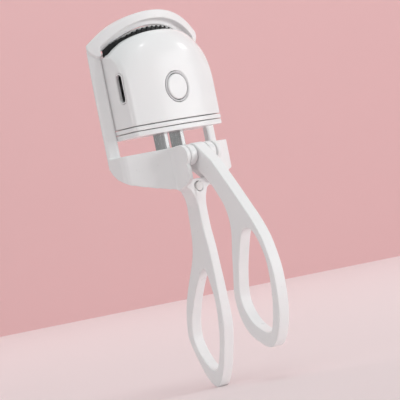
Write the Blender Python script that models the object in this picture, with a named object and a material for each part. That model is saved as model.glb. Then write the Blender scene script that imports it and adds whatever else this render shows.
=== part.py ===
"""Heated scissor eyelash curler: a white moulded frame with a fixed upper jaw, a heated head that slides in
its window, and a front handle that lifts the head when the two finger loops are squeezed together.

Every number below is in millimetres from the hinge axis: x to the right, y to the back, z up.
The world frame is metres, with its origin under the middle of the object, level with its lowest point."""

import math

import bmesh
import bpy
from mathutils import Vector

MM = 0.001
HINGE_Y = 3.11
HINGE_Z = 69.8

# Upper jaw: the arch of its front top edge, and the arch of the comb's tips and of the pad
JAW_HALF_WIDTH = 22.7
JAW_FRONT_Y = 6.9
JAW_BOW = 6.7
JAW_BOW_POWER = 1.88
JAW_END_Z = 37.5
JAW_RISE = 7.7
JAW_RISE_POWER = 2.16
JAW_DEPTH = 4.0
JAW_TAPER = 3.5
JAW_TAPER_START = 12.3
JAW_END_START = 19.5
JAW_END_LIFT = 2.6
LIP_THICKNESS = 0.9
LIP_HEIGHT = 2.7
LIP_END_DROP = 0.9
LIP_HALF_SPAN = 17.9
CHANNEL_BACK = 2.0
COMB_FRONT = 1.15
COMB_END_RISE = 1.0
CLAMP_TOP_Z = 40.2
CLAMP_HALF_SPAN = 17.4
PAD_FRONT = 2.1
PAD_HEIGHT = 0.65
PAD_HALF_SPAN = 16.9

# Window and rails
WINDOW_HALF_WIDTH = 18.5
RAIL_SLIM_Z = 24.0
RAIL_TOP_Z = 36.0
JAW_END_CLEAR_Z = 36.4
CROSSBAR_TOP_Z = 3.1

# Sliding head
HEAD_HALF_WIDTH = 18.15
HEAD_FRONT_Y = 2.5
HEAD_FRONT_BOW = 2.1
HEAD_CORNER = 1.6
HEAD_BACK_Y = 13.9
HEAD_BACK_BOW = 2.4
HEAD_BOTTOM_Z = 8.0
TRIM_BOTTOM_Z = 9.7
TRIM_TOP_Z = 10.95
SHELL_BOTTOM_Z = 11.2
RIM_TOP_Z = 38.95
RIM_END_DROP = 0.9
RIM_Y = 6.2
RIM_BOW = 7.0
SHOULDER_HEIGHT = 12.5
WALL = 1.1
PARTING_Y = 12.4
PARTING_BOW = 2.4
PARTING_GAP = 0.3

# Hinge, fork and lever
HINGE_PIN_RADIUS = 1.1
NOSE_RADIUS = 3.25
CHEEK_INSIDE = 5.7
CHEEK_OUTSIDE = 7.2
BARREL_RADIUS = 3.0
BARREL_HALF_WIDTH = 5.4
FRONT_HANDLE_HALF = 2.2
REAR_HANDLE_HALF = 2.15
REAR_SHANK_HALF = 1.8
REAR_SHANK_Z = -35.0
REAR_FULL_Z = -52.0
LEVER_ARM = 10.6
DRIVE_PIN_RADIUS = 1.0

# Yoke
LEG_INSIDE = 2.5
LEG_OUTSIDE = 4.2
LEG_FRONT_Y = 8.2
LEG_BACK_Y = 13.0
LEG_BOTTOM_Z = -2.5
YOKE_SCREW_SPOT = (6.8, 9.6)

# Power button and port
BUTTON_Z = 20.9
BUTTON_RADIUS = 3.85
RING_RADIUS = 4.6
PORT_Y = 7.6
PORT_Z = 22.9

WHITE = ("white_abs", (0.86, 0.86, 0.86), 0.28, 0.0)
WHITE_HEAD = ("white_gloss", (0.88, 0.88, 0.88), 0.18, 0.0)
GREY_RING = ("grey_trim", (0.42, 0.42, 0.43), 0.35, 0.3)
BLACK_NYLON = ("black_nylon", (0.02, 0.02, 0.022), 0.45, 0.0)
STEEL = ("polished_steel", (0.62, 0.62, 0.63), 0.22, 1.0)
CERAMIC = ("heater_coating", (0.05, 0.05, 0.055), 0.3, 0.4)
SILICONE = ("white_silicone", (0.8, 0.8, 0.79), 0.6, 0.0)
BOARD = ("green_board", (0.04, 0.22, 0.1), 0.5, 0.0)
BATTERY = ("battery_foil", (0.7, 0.71, 0.74), 0.35, 0.6)
LEAD = ("lead_wire", (0.7, 0.08, 0.06), 0.45, 0.0)
LED = ("led_lens", (0.95, 0.93, 0.8), 0.2, 0.0)
ELEMENT = ("ptc_ceramic", (0.35, 0.3, 0.26), 0.7, 0.0)


# ---------------------------------------------------------------- outlines


def circle(cy, cz, radius, count):
    turn = 2 * math.pi / count
    return [(cy + radius * math.cos(turn * i), cz + radius * math.sin(turn * i)) for i in range(count)]


def arc(cy, cz, radius, start, end, steps):
    """Points on an arc, angles in degrees from the first axis."""
    angles = [math.radians(start + (end - start) * i / steps) for i in range(steps + 1)]
    return [(cy + radius * math.cos(a), cz + radius * math.sin(a)) for a in angles]


def smooth(points, per_span, closed=True):
    """A Catmull-Rom curve through the points, centripetal enough for evenly drawn outlines."""
    count = len(points)
    spans = count if closed else count - 1
    result = []
    for i in range(spans):
        if closed:
            p0, p1, p2, p3 = (points[(i + k) % count] for k in (-1, 0, 1, 2))
        else:
            p0, p1, p2, p3 = (points[min(max(i + k, 0), count - 1)] for k in (-1, 0, 1, 2))
        for step in range(per_span):
            t = step / per_span
            result.append(
                tuple(
                    0.5
                    * (
                        2 * b
                        + (c - a) * t
                        + (2 * a - 5 * b + 4 * c - d) * t * t
                        + (3 * b - a - 3 * c + d) * t**3
                    )
                    for a, b, c, d in zip(p0, p1, p2, p3)
                )
            )
    if not closed:
        result.append(points[-1])
    return result


def area(loop):
    return 0.5 * sum(a[0] * b[1] - b[0] * a[1] for a, b in zip(loop, loop[1:] + loop[:1]))


def offset(loop, distance):
    """Moves a closed loop outward by the distance, along the mean normal of each corner."""
    side = 1.0 if area(loop) > 0 else -1.0
    result = []
    count = len(loop)
    for i, point in enumerate(loop):
        before, after = Vector(loop[i - 1]), Vector(loop[(i + 1) % count])
        here = Vector(point)
        one = (here - before).normalized()
        two = (after - here).normalized()
        normal = Vector((one.y + two.y, -one.x - two.x))
        length = max(normal.length, 0.2)
        reach = 2.0 / max(length, 1.2)
        result.append(tuple(here + normal / length * (side * distance * reach)))
    return result


# ---------------------------------------------------------------- solids


SIDES = ((-1, "left"), (1, "right"))
AXES = {
    "x": lambda a, b, c: (c, a, b),
    "y": lambda a, b, c: (a, c, b),
    "z": lambda a, b, c: (a, b, c),
}


def finish_mesh(bm):
    bmesh.ops.recalc_face_normals(bm, faces=bm.faces)
    return bm


def prism(loops, axis, low, high, chamfer=0.0):
    """The first loop is the outline and the others are holes; the edges may be chamfered."""
    place = AXES[axis]
    bm = bmesh.new()
    levels = [(low, 0.0), (high, 0.0)]
    if chamfer:
        levels = [(low, chamfer), (low + chamfer, 0.0), (high - chamfer, 0.0), (high, chamfer)]
    rims = {0: [], len(levels) - 1: []}
    for index, loop in enumerate(loops):
        grow = -1.0 if index == 0 else 1.0
        rings = []
        for level, inset in levels:
            outline = offset(loop, grow * inset) if inset else loop
            rings.append([bm.verts.new(place(a, b, level)) for a, b in outline])
        for one, two in zip(rings, rings[1:]):
            for i in range(len(loop)):
                j = (i + 1) % len(loop)
                bm.faces.new((one[i], one[j], two[j], two[i]))
        for level in rims:
            ring = rings[level]
            for i in range(len(ring)):
                rims[level].append(bm.edges.get((ring[i], ring[(i + 1) % len(ring)])))
    for edges in rims.values():
        bmesh.ops.triangle_fill(bm, use_beauty=True, use_dissolve=False, edges=edges)
    return finish_mesh(bm)


def box(x, y, z, chamfer=0.0):
    outline = [(x[0], y[0]), (x[1], y[0]), (x[1], y[1]), (x[0], y[1])]
    return prism([outline], "z", z[0], z[1], chamfer)


def cylinder(axis, centre, radius, low, high, count=24, chamfer=0.0):
    return prism([circle(centre[0], centre[1], radius, count)], axis, low, high, chamfer)


def loft(rings):
    """Closed rings of the same number of 3-D points, joined in order and capped."""
    bm = bmesh.new()
    made = [[bm.verts.new(p) for p in ring] for ring in rings]
    for one, two in zip(made, made[1:]):
        for i in range(len(one)):
            j = (i + 1) % len(one)
            bm.faces.new((one[i], one[j], two[j], two[i]))
    bm.faces.new(made[0])
    bm.faces.new(made[-1])
    bmesh.ops.triangulate(bm, faces=[f for f in bm.faces if len(f.verts) > 4])
    return finish_mesh(bm)


def tube(points, radius, count=8):
    """A round wire along the points, with flat ends."""
    rings = []
    path = [Vector(p) for p in points]
    for i, here in enumerate(path):
        along = (path[min(i + 1, len(path) - 1)] - path[max(i - 1, 0)]).normalized()
        side = along.cross(Vector((0.31, 0.87, 0.38))).normalized()
        up = along.cross(side)
        rings.append(
            [
                here + side * (radius * math.cos(a)) + up * (radius * math.sin(a))
                for a in (2 * math.pi * k / count for k in range(count))
            ]
        )
    return loft(rings)


def joined(*parts):
    """Several separate solids in one mesh."""
    result = bmesh.new()
    for part in parts:
        mesh = bpy.data.meshes.new("joined")
        part.to_mesh(mesh)
        result.from_mesh(mesh)
        bpy.data.meshes.remove(mesh)
        part.free()
    return result


def temporary(bm):
    mesh = bpy.data.meshes.new("temporary")
    bm.to_mesh(mesh)
    bm.free()
    shape = bpy.data.objects.new("temporary", mesh)
    bpy.context.scene.collection.objects.link(shape)
    return shape


def boolean(bm, other, operation):
    """The exact Boolean of two closed meshes, as a new bmesh."""
    target = temporary(bm)
    tool = temporary(other)
    modifier = target.modifiers.new("cut", "BOOLEAN")
    modifier.operation = operation
    modifier.solver = "EXACT"
    modifier.object = tool
    graph = bpy.context.evaluated_depsgraph_get()
    mesh = bpy.data.meshes.new_from_object(target.evaluated_get(graph))
    result = bmesh.new()
    result.from_mesh(mesh)
    bmesh.ops.remove_doubles(result, verts=result.verts, dist=1e-5)
    bmesh.ops.dissolve_degenerate(result, edges=result.edges, dist=1e-5)
    bpy.data.meshes.remove(mesh)
    for shape in (target, tool):
        data = shape.data
        bpy.data.objects.remove(shape)
        bpy.data.meshes.remove(data)
    return result


def cut(bm, *tools):
    for tool in tools:
        bm = boolean(bm, tool, "DIFFERENCE")
    return bm


def fuse(bm, *others):
    for other in others:
        bm = boolean(bm, other, "UNION")
    return bm


def material(look):
    name, colour, roughness, metallic = look
    found = bpy.data.materials.get(name)
    if found:
        return found
    made = bpy.data.materials.new(name)
    made.use_nodes = True
    shader = made.node_tree.nodes["Principled BSDF"]
    shader.inputs["Base Color"].default_value = (*colour, 1.0)
    shader.inputs["Roughness"].default_value = roughness
    shader.inputs["Metallic"].default_value = metallic
    return made


def piece(name, bm, look, origin=(0.0, 0.0, 0.0)):
    """Makes the object: the mesh in metres about its origin, placed in the world."""
    for vertex in bm.verts:
        vertex.co = (vertex.co - Vector(origin)) * MM
    mesh = bpy.data.meshes.new(name)
    bm.to_mesh(mesh)
    bm.free()
    mesh.shade_smooth()
    mesh.set_sharp_from_angle(angle=math.radians(35))
    mesh.materials.append(material(look))
    shape = bpy.data.objects.new(name, mesh)
    shape.location = Vector((origin[0], origin[1] + HINGE_Y, origin[2] + HINGE_Z)) * MM
    bpy.context.scene.collection.objects.link(shape)
    return shape


# ---------------------------------------------------------------- shared curves


def jaw_front(x):
    return JAW_FRONT_Y + JAW_BOW * abs(x / JAW_HALF_WIDTH) ** JAW_BOW_POWER


def jaw_top(x):
    return JAW_END_Z + JAW_RISE * (1 - abs(x / JAW_HALF_WIDTH) ** JAW_RISE_POWER)


def jaw_depth(x):
    share = max(0.0, abs(x) - JAW_TAPER_START) / (JAW_HALF_WIDTH - JAW_TAPER_START)
    return JAW_DEPTH - JAW_TAPER * share**1.5


def lip_edge(x):
    """Height of the front lip's lower edge, which follows the jaw's top edge."""
    return jaw_top(x) - LIP_HEIGHT - LIP_END_DROP * (abs(x) / 18.9) ** 3


def clamp_line(x):
    """Height of the comb's tips at rest, just over the pad's lower face."""
    return CLAMP_TOP_Z - 1.0 * (abs(x) / 7.5) ** 2.1


def rim_height(x):
    return RIM_TOP_Z - 0.6 * (abs(x) / 7.7) ** 2.48 - RIM_END_DROP * (max(0.0, abs(x) - 11.0) / 6.5) ** 2


def comb_rise(x):
    """How much higher the comb stands towards its ends, behind the lip."""
    share = min(1.0, max(0.0, abs(x) - 9.5) / 7.0)
    return COMB_END_RISE * share * share * (3 - 2 * share)


def rim_line(x):
    return RIM_Y + RIM_BOW * (x / JAW_HALF_WIDTH) ** 2


def head_front(x):
    return HEAD_FRONT_Y + HEAD_FRONT_BOW * (x / (HEAD_HALF_WIDTH - HEAD_CORNER)) ** 2


def head_back(x):
    return HEAD_BACK_Y + HEAD_BACK_BOW * (x / HEAD_HALF_WIDTH) ** 2


def parting(x):
    return PARTING_Y + PARTING_BOW * (x / HEAD_HALF_WIDTH) ** 2


def spread(low, high, count):
    return [low + (high - low) * i / count for i in range(count + 1)]


def head_outline(inset=0.0, back=head_back, count=18):
    """Plan outline of the head: left side, front and right side, then the curved back."""
    half = HEAD_HALF_WIDTH - HEAD_CORNER
    edge = head_front(half)
    front = [(x, head_front(x) + inset) for x in spread(-half, half, count)]
    radius = HEAD_CORNER - inset if inset < HEAD_CORNER - 0.3 else 0.3
    reach = HEAD_HALF_WIDTH - inset - radius
    centre_y = edge + HEAD_CORNER
    left = arc(-reach, centre_y, radius, 180, 255, 3)
    right = arc(reach, centre_y, radius, 285, 360, 3)
    inner = [p for p in front if abs(p[0]) < half - 0.1]
    wide = HEAD_HALF_WIDTH - inset
    rear = [(x, back(x)) for x in spread(wide, -wide, 8)]
    return left + inner + right + rear


def strip(section, low, high, count):
    """A solid swept across the object: section(x) gives the closed outline in y and z."""
    return loft([[(x, y, z) for y, z in section(x)] for x in spread(low, high, count)])


def arch_strip(section, half_span, count):
    return strip(section, -half_span, half_span, count)


# ---------------------------------------------------------------- frame


def jaw_bottom(x):
    """The jaw's underside: it follows the pad, then rises where the end curls under."""
    share = max(0.0, abs(x) - JAW_END_START) / (JAW_HALF_WIDTH - JAW_END_START)
    return clamp_line(min(abs(x), JAW_END_START)) + PAD_HEIGHT + 0.1 + JAW_END_LIFT * share**2


def jaw_section(x):
    front, top, depth, bottom = jaw_front(x), jaw_top(x), jaw_depth(x), jaw_bottom(x)
    near, far = min(0.35, 0.3 * depth), min(0.6, 0.4 * depth)
    return [
        (front, bottom),
        (front, top - 0.7),
        (front + near, top),
        (front + depth - far, top - 0.1),
        (front + depth, top - 0.9),
        (front + depth, bottom),
    ]


def lip_channel(x):
    """The groove that hides the comb when the jaws are shut, cut up from below behind the front lip."""
    near, far = jaw_front(x) + LIP_THICKNESS, jaw_front(x) + CHANNEL_BACK
    low, high = clamp_line(x) - 3.0, lip_edge(x) + 0.4
    return [(near, low), (near, high), (far, high), (far, low)]


def lip_trim(x):
    """What is cut off below the front lip."""
    near, far = jaw_front(x) - 2.0, jaw_front(x) + LIP_THICKNESS + 0.3
    low, high = clamp_line(x) - 3.0, lip_edge(x)
    return [(near, low), (near, high), (far, high), (far, low)]


RAIL_PLAN = [(18.5, 12.6), (22.2, 13.6), (22.7, 14.1), (22.6, 14.6), (21.8, 15.3), (18.7, 14.9)]
RAIL_TOP_PLAN = [(18.5, 12.6), (20.6, 13.1), (21.6, 13.8), (22.2, 14.7), (21.7, 15.2), (18.7, 14.9)]


def rail(side):
    """A side of the window, the same all the way up to where it slims towards the jaw's end."""
    levels = ((0.0, RAIL_PLAN), (RAIL_SLIM_Z, RAIL_PLAN), (RAIL_TOP_Z, RAIL_TOP_PLAN))
    return loft([[(side * x, y, z) for x, y in plan] for z, plan in levels])


def keel():
    """The crossbar under the window: a block whose underside slopes down and forward to the fork."""
    half = [(6.6, 3.5), (14.0, 5.7), (20.8, 8.1), (21.7, 8.7), (22.2, 9.8), (22.7, 14.1), (21.8, 15.3)]
    plan = [(-x, y) for x, y in reversed(half)] + half
    body = prism([plan], "z", -12.0, CROSSBAR_TOP_Z)
    profile = [
        (-1.0, CROSSBAR_TOP_Z + 1.0),
        (-1.0, -13.5),
        (3.3, -9.9),
        (6.0, -7.7),
        (9.0, -5.2),
        (11.6, -3.6),
        (13.4, -1.8),
        (14.6, 0.2),
        (16.5, 2.0),
        (16.5, CROSSBAR_TOP_Z + 1.0),
    ]
    return boolean(body, prism([profile], "x", -30.0, 30.0), "INTERSECT")


def cheek(side):
    nose = arc(0.0, 0.0, NOSE_RADIUS, 90, 230, 10)
    lower = [(-2.5, -4.0), (-2.4, -7.2), (-0.8, -8.6), (3.3, -9.9), (6.0, -7.7), (6.0, 3.0), (3.0, 3.1)]
    low, high = sorted((side * CHEEK_INSIDE, side * CHEEK_OUTSIDE))
    return prism([nose + lower], "x", low, high)


def neck():
    """The bridge that joins the fork's two cheeks and narrows to the rear handle."""
    stations = [(-7.2, 6.0, 6.0), (-8.8, 5.9, 6.3), (-10.4, 3.4, 6.6), (-13.0, 2.2, 6.8), (-15.5, 1.7, 6.9)]
    return loft([[(-w, 2.1, z), (w, 2.1, z), (w, y, z), (-w, y, z)] for z, w, y in stations])


REAR_OUTLINE = [
    (2.1, -9.5),
    (2.1, -15.0),
    (2.1, -21.5),
    (1.5, -28.0),
    (1.2, -35.0),
    (1.1, -41.0),
    (1.1, -47.0),
    (1.3, -51.5),
    (2.2, -55.5),
    (3.3, -59.2),
    (4.4, -62.6),
    (5.5, -65.2),
    (6.8, -67.6),
    (8.1, -69.3),
    (9.4, -69.8),
    (10.9, -68.8),
    (12.6, -66.6),
    (14.2, -63.4),
    (15.7, -59.6),
    (16.8, -56.4),
    (17.4, -53.4),
    (17.1, -50.2),
    (16.1, -45.2),
    (14.4, -40.7),
    (11.9, -35.6),
    (9.5, -30.8),
    (8.2, -26.5),
    (7.6, -22.0),
    (7.3, -17.5),
    (7.1, -14.5),
    (6.8, -9.5),
]
REAR_LOOP = [
    (5.3, -34.3),
    (7.8, -36.3),
    (10.6, -40.5),
    (12.7, -44.4),
    (14.3, -48.2),
    (15.2, -52.0),
    (15.1, -55.4),
    (13.8, -59.2),
    (11.6, -62.7),
    (9.7, -64.5),
    (8.3, -64.7),
    (6.9, -63.0),
    (5.2, -58.8),
    (4.0, -54.2),
    (3.3, -49.5),
    (3.1, -45.0),
    (3.5, -40.8),
    (4.3, -36.6),
]


def flare(bm, half, slim, top, bottom):
    """Slims a flat handle above its loop: full width below the bottom level, slim above the top one."""
    for level in (top, bottom):
        geometry = bm.verts[:] + bm.edges[:] + bm.faces[:]
        bmesh.ops.bisect_plane(bm, geom=geometry, dist=1e-5, plane_co=(0, 0, level), plane_no=(0, 0, 1))
    for vertex in bm.verts:
        share = min(max((vertex.co.z - bottom) / (top - bottom), 0.0), 1.0)
        vertex.co.x *= 1.0 + (slim / half - 1.0) * share
    return finish_mesh(bm)


def rear_handle():
    outline = smooth(REAR_OUTLINE, 2)
    plate = prism([outline, smooth(REAR_LOOP, 2)], "x", -REAR_HANDLE_HALF, REAR_HANDLE_HALF, 0.35)
    return flare(plate, REAR_HANDLE_HALF, REAR_SHANK_HALF, REAR_SHANK_Z, REAR_FULL_Z)


def frame():
    body = arch_strip(jaw_section, JAW_HALF_WIDTH, 36)
    body = cut(body, arch_strip(lip_channel, CLAMP_HALF_SPAN, 26), arch_strip(lip_trim, LIP_HALF_SPAN, 26))
    body = fuse(body, rail(-1), rail(1), keel(), cheek(-1), cheek(1))
    for side in (-1, 1):
        ends = sorted((side * 16.9, side * WINDOW_HALF_WIDTH))
        body = cut(body, box(ends, (5.0, 17.5), (RAIL_TOP_Z - 6.0, JAW_END_CLEAR_Z)))
    body = cut(body, box((-CHEEK_INSIDE, CHEEK_INSIDE), (-8.0, 13.6), (-7.2, 6.0)))
    body = cut(body, box((-CHEEK_INSIDE, CHEEK_INSIDE), (6.4, 13.6), (-14.0, -7.0)))
    body = fuse(body, neck(), rear_handle())
    pin_bore = cylinder("x", (0.0, 0.0), HINGE_PIN_RADIUS + 0.15, -6.75, 6.75, 20)
    bumper_bore = cylinder("y", (0.0, -9.6), 1.6, 1.0, 3.2, 20)
    piece("frame", cut(body, pin_bore, bumper_bore), WHITE)


def pad_section(x):
    low, front = clamp_line(x) - 0.1, jaw_front(x) + PAD_FRONT
    back = jaw_front(x) + jaw_depth(x) - 0.2
    return [(front, low), (front, low + PAD_HEIGHT), (back, low + PAD_HEIGHT), (back, low)]


def jaw_pad():
    piece("jaw_pad", arch_strip(pad_section, PAD_HALF_SPAN, 24), SILICONE)


def hinge_pin():
    pin = cylinder("x", (0.0, 0.0), HINGE_PIN_RADIUS, -6.6, 6.6, 20, 0.15)
    piece("hinge_pin", pin, STEEL)


def handle_bumper():
    body = cylinder("y", (0.0, -9.6), 1.4, 1.6, 3.0, 20, 0.15)
    piece("handle_bumper", body, SILICONE)


# ---------------------------------------------------------------- sliding head


def shoulder_columns(inset, bottom):
    """Vertical columns round the sides and front: straight up, then a quarter ellipse back to the rim."""
    outline = head_outline(inset, parting)
    columns = []
    for x, y in outline[:-9]:
        top = rim_height(x) - inset
        back = max(y, rim_line(x) + inset)
        start = top - SHOULDER_HEIGHT
        column = [(x, y, bottom), (x, y, start)]
        for step in range(1, 7):
            angle = math.pi / 2 * step / 6
            lean = (back - y) * (1 - math.cos(angle))
            column.append((x, y + lean, start + SHOULDER_HEIGHT * math.sin(angle)))
        columns.append(column)
    return columns


def head_solid(inset, bottom, back_gap):
    """The head's outer or inner form, from the bottom to the arched top and back to the parting line."""
    columns = shoulder_columns(inset, bottom)
    bm = bmesh.new()
    grid = [[bm.verts.new(p) for p in column] for column in columns]
    behind = []
    for column in columns:
        x = column[0][0]
        y = parting(x) + back_gap
        behind.append((bm.verts.new((x, y, bottom)), bm.verts.new((x, y, column[-1][2]))))
    for one, two in zip(grid, grid[1:]):
        for i in range(len(one) - 1):
            bm.faces.new((one[i], two[i], two[i + 1], one[i + 1]))
    for i in range(len(grid) - 1):
        low_a, high_a = behind[i]
        low_b, high_b = behind[i + 1]
        bm.faces.new((grid[i][-1], grid[i + 1][-1], high_b, high_a))
        bm.faces.new((grid[i][0], low_a, low_b, grid[i + 1][0]))
        bm.faces.new((low_a, high_a, high_b, low_b))
    bm.faces.new((*grid[0], behind[0][1], behind[0][0]))
    bm.faces.new((*grid[-1], behind[-1][1], behind[-1][0]))
    bmesh.ops.remove_doubles(bm, verts=bm.verts, dist=1e-4)
    return finish_mesh(bm)


def holder_opening(x):
    low, front = rim_height(x) - 4.0, jaw_front(x) + 0.9
    return [(front, low), (front, low + 8.0), (20.0, low + 8.0), (20.0, low)]


SCREW_SPOTS = [(-15.0, 14.0), (15.0, 14.0), (-15.0, 29.2), (15.0, 29.2)]


def bosses():
    """Posts on the shell's inner face that take the rear screws."""
    made = []
    for (x, z), root in zip(SCREW_SPOTS, (4.8, 4.8, 6.0, 6.0)):
        post = cylinder("y", (x, z), 1.3, root, parting(x) - 0.05, 14)
        made.append(cut(post, cylinder("y", (x, z), 0.6, 8.6, 20.0, 10)))
    return made


def front_shell():
    shell = head_solid(0.0, SHELL_BOTTOM_Z, 0.0)
    hollow = head_solid(WALL, SHELL_BOTTOM_Z - 1.0, 1.0)
    port = prism([slot_outline(PORT_Y, PORT_Z, 3.1, 9.3)], "x", -20.0, -15.0)
    button = cylinder("y", (0.0, BUTTON_Z), RING_RADIUS + 0.15, 0.0, 5.0, 32)
    opening = arch_strip(holder_opening, 17.0, 20)
    shell = fuse(cut(shell, hollow), *bosses())
    piece("front_shell", cut(shell, port, button, opening), WHITE_HEAD)


def lid_section(x):
    top = rim_height(x) - 0.1
    inner, outer = parting(x) + PARTING_GAP, head_back(x)
    upper = [(inner, top), (outer - 0.4, top), (outer, top - 0.8)]
    return [(inner, SHELL_BOTTOM_Z), *upper, (outer, SHELL_BOTTOM_Z)]


def rear_shell():
    body = arch_strip(lid_section, HEAD_HALF_WIDTH, 20)
    holes = []
    for x, z in SCREW_SPOTS:
        holes.append(cylinder("y", (x, z), 0.7, 12.0, 18.0, 12))
        holes.append(cylinder("y", (x, z), 1.25, head_back(x) - 0.7, 18.0, 14))
    piece("rear_shell", cut(body, *holes), WHITE_HEAD)


def shell_screws():
    for index, (x, z) in enumerate(SCREW_SPOTS):
        back = head_back(x) - 0.1
        profile = [(1.0, back), (1.05, back - 0.15), (1.05, back - 0.5), (0.48, back - 0.55)]
        profile += [(0.48, back - 4.9), (0.2, back - 5.4)]
        rings = [[(a, y, b) for a, b in circle(x, z, radius, 12)] for radius, y in profile]
        piece(f"shell_screw_{index + 1}", loft(rings), STEEL)


def slot_outline(cy, cz, width, height, steps=6):
    """A slot with round ends, long along z."""
    radius = width / 2
    reach = height / 2 - radius
    return arc(cy, cz + reach, radius, 0, 180, steps) + arc(cy, cz - reach, radius, 180, 360, steps)


def trim_ring():
    outer = offset(head_outline(), 0.12)
    inner = offset(head_outline(), -0.7)
    ring = prism([outer, inner], "z", TRIM_BOTTOM_Z, TRIM_TOP_Z)
    piece("trim_ring", ring, WHITE_HEAD)


def leg_box(side, z, gap=0.0):
    """A leg of the yoke, or with a gap the slot round it."""
    x = sorted((side * (LEG_INSIDE - gap), side * (LEG_OUTSIDE + gap)))
    return box(x, (LEG_FRONT_Y - gap, LEG_BACK_Y + gap), z)


def yoke_screw_holes():
    x, y = YOKE_SCREW_SPOT
    return [cylinder("z", (side * x, y), 0.8, 5.0, 12.0, 12) for side in (-1, 1)]


def base_cap():
    body = prism([head_outline()], "z", HEAD_BOTTOM_Z, TRIM_BOTTOM_Z - 0.2, 0.25)
    legs = [leg_box(side, (5.0, 12.0), 0.2) for side in (-1, 1)]
    piece("base_cap", cut(body, *legs, *yoke_screw_holes()), WHITE_HEAD)


def holder_section(x):
    """Black heat-proof holder: a front wall that carries the comb, a seat for the plate and a rear rib."""
    front, tips = jaw_front(x) + COMB_FRONT, clamp_line(x)
    seat_back = front + jaw_depth(x) - 1.35
    back = parting(x) - 0.05
    shelf = min(rim_height(x) - 0.2, tips - 2.1)
    return [
        (front, tips - 4.6),
        (front, tips - 1.6),
        (front + 0.6, tips - 1.6),
        (front + 0.6, tips - 2.9),
        (seat_back, tips - 2.9),
        (seat_back, tips - 2.1),
        (max(seat_back + 0.35, back - 0.3), shelf),
        (max(seat_back + 0.4, back), tips - 3.4),
        (max(seat_back + 0.4, back), tips - 4.6),
    ]


def comb_section(x):
    """The rail and the thin web behind the comb's teeth."""
    front, tips = jaw_front(x) + COMB_FRONT, clamp_line(x)
    low, rail_top, high = tips - 1.5, tips - 1.2, tips + 0.2 + comb_rise(x)
    web = front + 0.32
    return [(front, low), (front, rail_top), (web, rail_top), (web, high), (front + 0.6, high), (front + 0.6, low)]


TOOTH_PITCH = 1.9
TOOTH_COUNT = 17


def tooth(x):
    base, tip = 0.68, 0.36
    front, tips = jaw_front(x) + COMB_FRONT, clamp_line(x)
    low, bend, high = tips - 1.35, tips - 0.85, tips + 0.35 + comb_rise(x)
    fall = base * (clamp_line(x + 0.5) - clamp_line(x - 0.5))
    left = [(x - tip, high), (x - base, bend - fall), (x - base, low - fall)]
    outline = left + [(x + base, low + fall), (x + base, bend + fall), (x + tip, high)]
    slope = jaw_front(x + 0.5) - jaw_front(x - 0.5)
    rings = []
    for depth in (0.03, 0.5):
        rings.append([(a, front + depth + slope * (a - x), b) for a, b in outline])
    return loft(rings)


def element_section(x, gap=0.0):
    front, top = jaw_front(x), clamp_line(x) - 2.95
    low, high = front + 2.15 - gap, front + 3.45 + gap
    return [(low, top - 1.0 - gap), (low, top + 5 * gap), (high, top + 5 * gap), (high, top - 1.0 - gap)]


def element_strip(side, gap=0.0):
    """A flat heating element between the middle and the end of the holder, or its pocket."""
    low, high = sorted((side * (1.2 - gap), side * (9.2 + gap)))
    return strip(lambda x: element_section(x, gap), low, high, 8)


def heater_holder():
    body = cut(arch_strip(holder_section, 16.8, 28), element_strip(-1, 0.12), element_strip(1, 0.12))
    piece("heater_holder", body, BLACK_NYLON)


def lash_comb():
    reach = (TOOTH_COUNT - 1) / 2
    teeth = [tooth((i - reach) * TOOTH_PITCH) for i in range(TOOTH_COUNT)]
    piece("lash_comb", fuse(arch_strip(comb_section, 16.8, 30), joined(*teeth)), BLACK_NYLON)


def plate_section(x):
    front = jaw_front(x) + 1.95
    top, back = clamp_line(x) - 1.8, jaw_front(x) + jaw_depth(x) - 0.4
    upper = [(front, top - 0.2), (front + 0.2, top), (back - 0.2, top), (back, top - 0.2)]
    return [(front, top - 0.9), *upper, (back, top - 0.9)]


def heater_plate():
    piece("heater_plate", arch_strip(plate_section, 16.4, 28), CERAMIC)


def heating_elements():
    for side, label in SIDES:
        piece(f"heating_element_{label}", element_strip(side), ELEMENT)


def heat_shield():
    body = box((-11.0, 11.0), (7.4, 11.6), (30.8, 31.4))
    piece("heat_shield", body, SILICONE)


def thermistor():
    bead = cylinder("x", (9.6, clamp_line(0.0) - 5.45), 0.7, -0.9, 0.9, 12, 0.25)
    piece("thermistor", bead, ELEMENT)


def battery_cell():
    body = box((-8.5, 12.0), (6.4, 10.9), (13.0, 29.4), 0.6)
    piece("battery_cell", body, BATTERY)


def circuit_board():
    """The board, with its row of small soldered parts."""
    body = box((-12.6, 12.0), (5.15, 5.95), (12.6, 26.6))
    holes = [cylinder("y", spot, 0.7, 4.0, 7.0, 12) for spot in ((-11.5, 14.2), (10.8, 14.2))]
    small = [box((1.7 * i - 3.5, 1.7 * i - 2.5), (4.55, 5.4), (15.6, 16.2)) for i in range(4)]
    piece("circuit_board", fuse(cut(body, *holes), *small), BOARD)


def chips():
    piece("charger_chip", box((5.6, 9.2), (4.4, 5.0), (21.4, 24.8), 0.1), BLACK_NYLON)
    piece("controller_chip", box((-9.2, -6.2), (4.45, 5.0), (15.6, 18.4), 0.1), BLACK_NYLON)


def usb_c_socket():
    outer = slot_outline(PORT_Y, PORT_Z, 3.16, 8.9)
    inner = slot_outline(PORT_Y, PORT_Z, 2.5, 8.3)
    body = prism([outer, inner], "x", -16.0, -10.6)
    back = prism([slot_outline(PORT_Y, PORT_Z, 2.8, 8.6)], "x", -11.4, -10.2)
    piece("usb_c_socket", fuse(body, back), STEEL)


def usb_tongue():
    body = box((-15.6, -11.7), (PORT_Y - 0.35, PORT_Y + 0.35), (PORT_Z - 3.3, PORT_Z + 3.3), 0.1)
    piece("usb_tongue", body, BLACK_NYLON)


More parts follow.
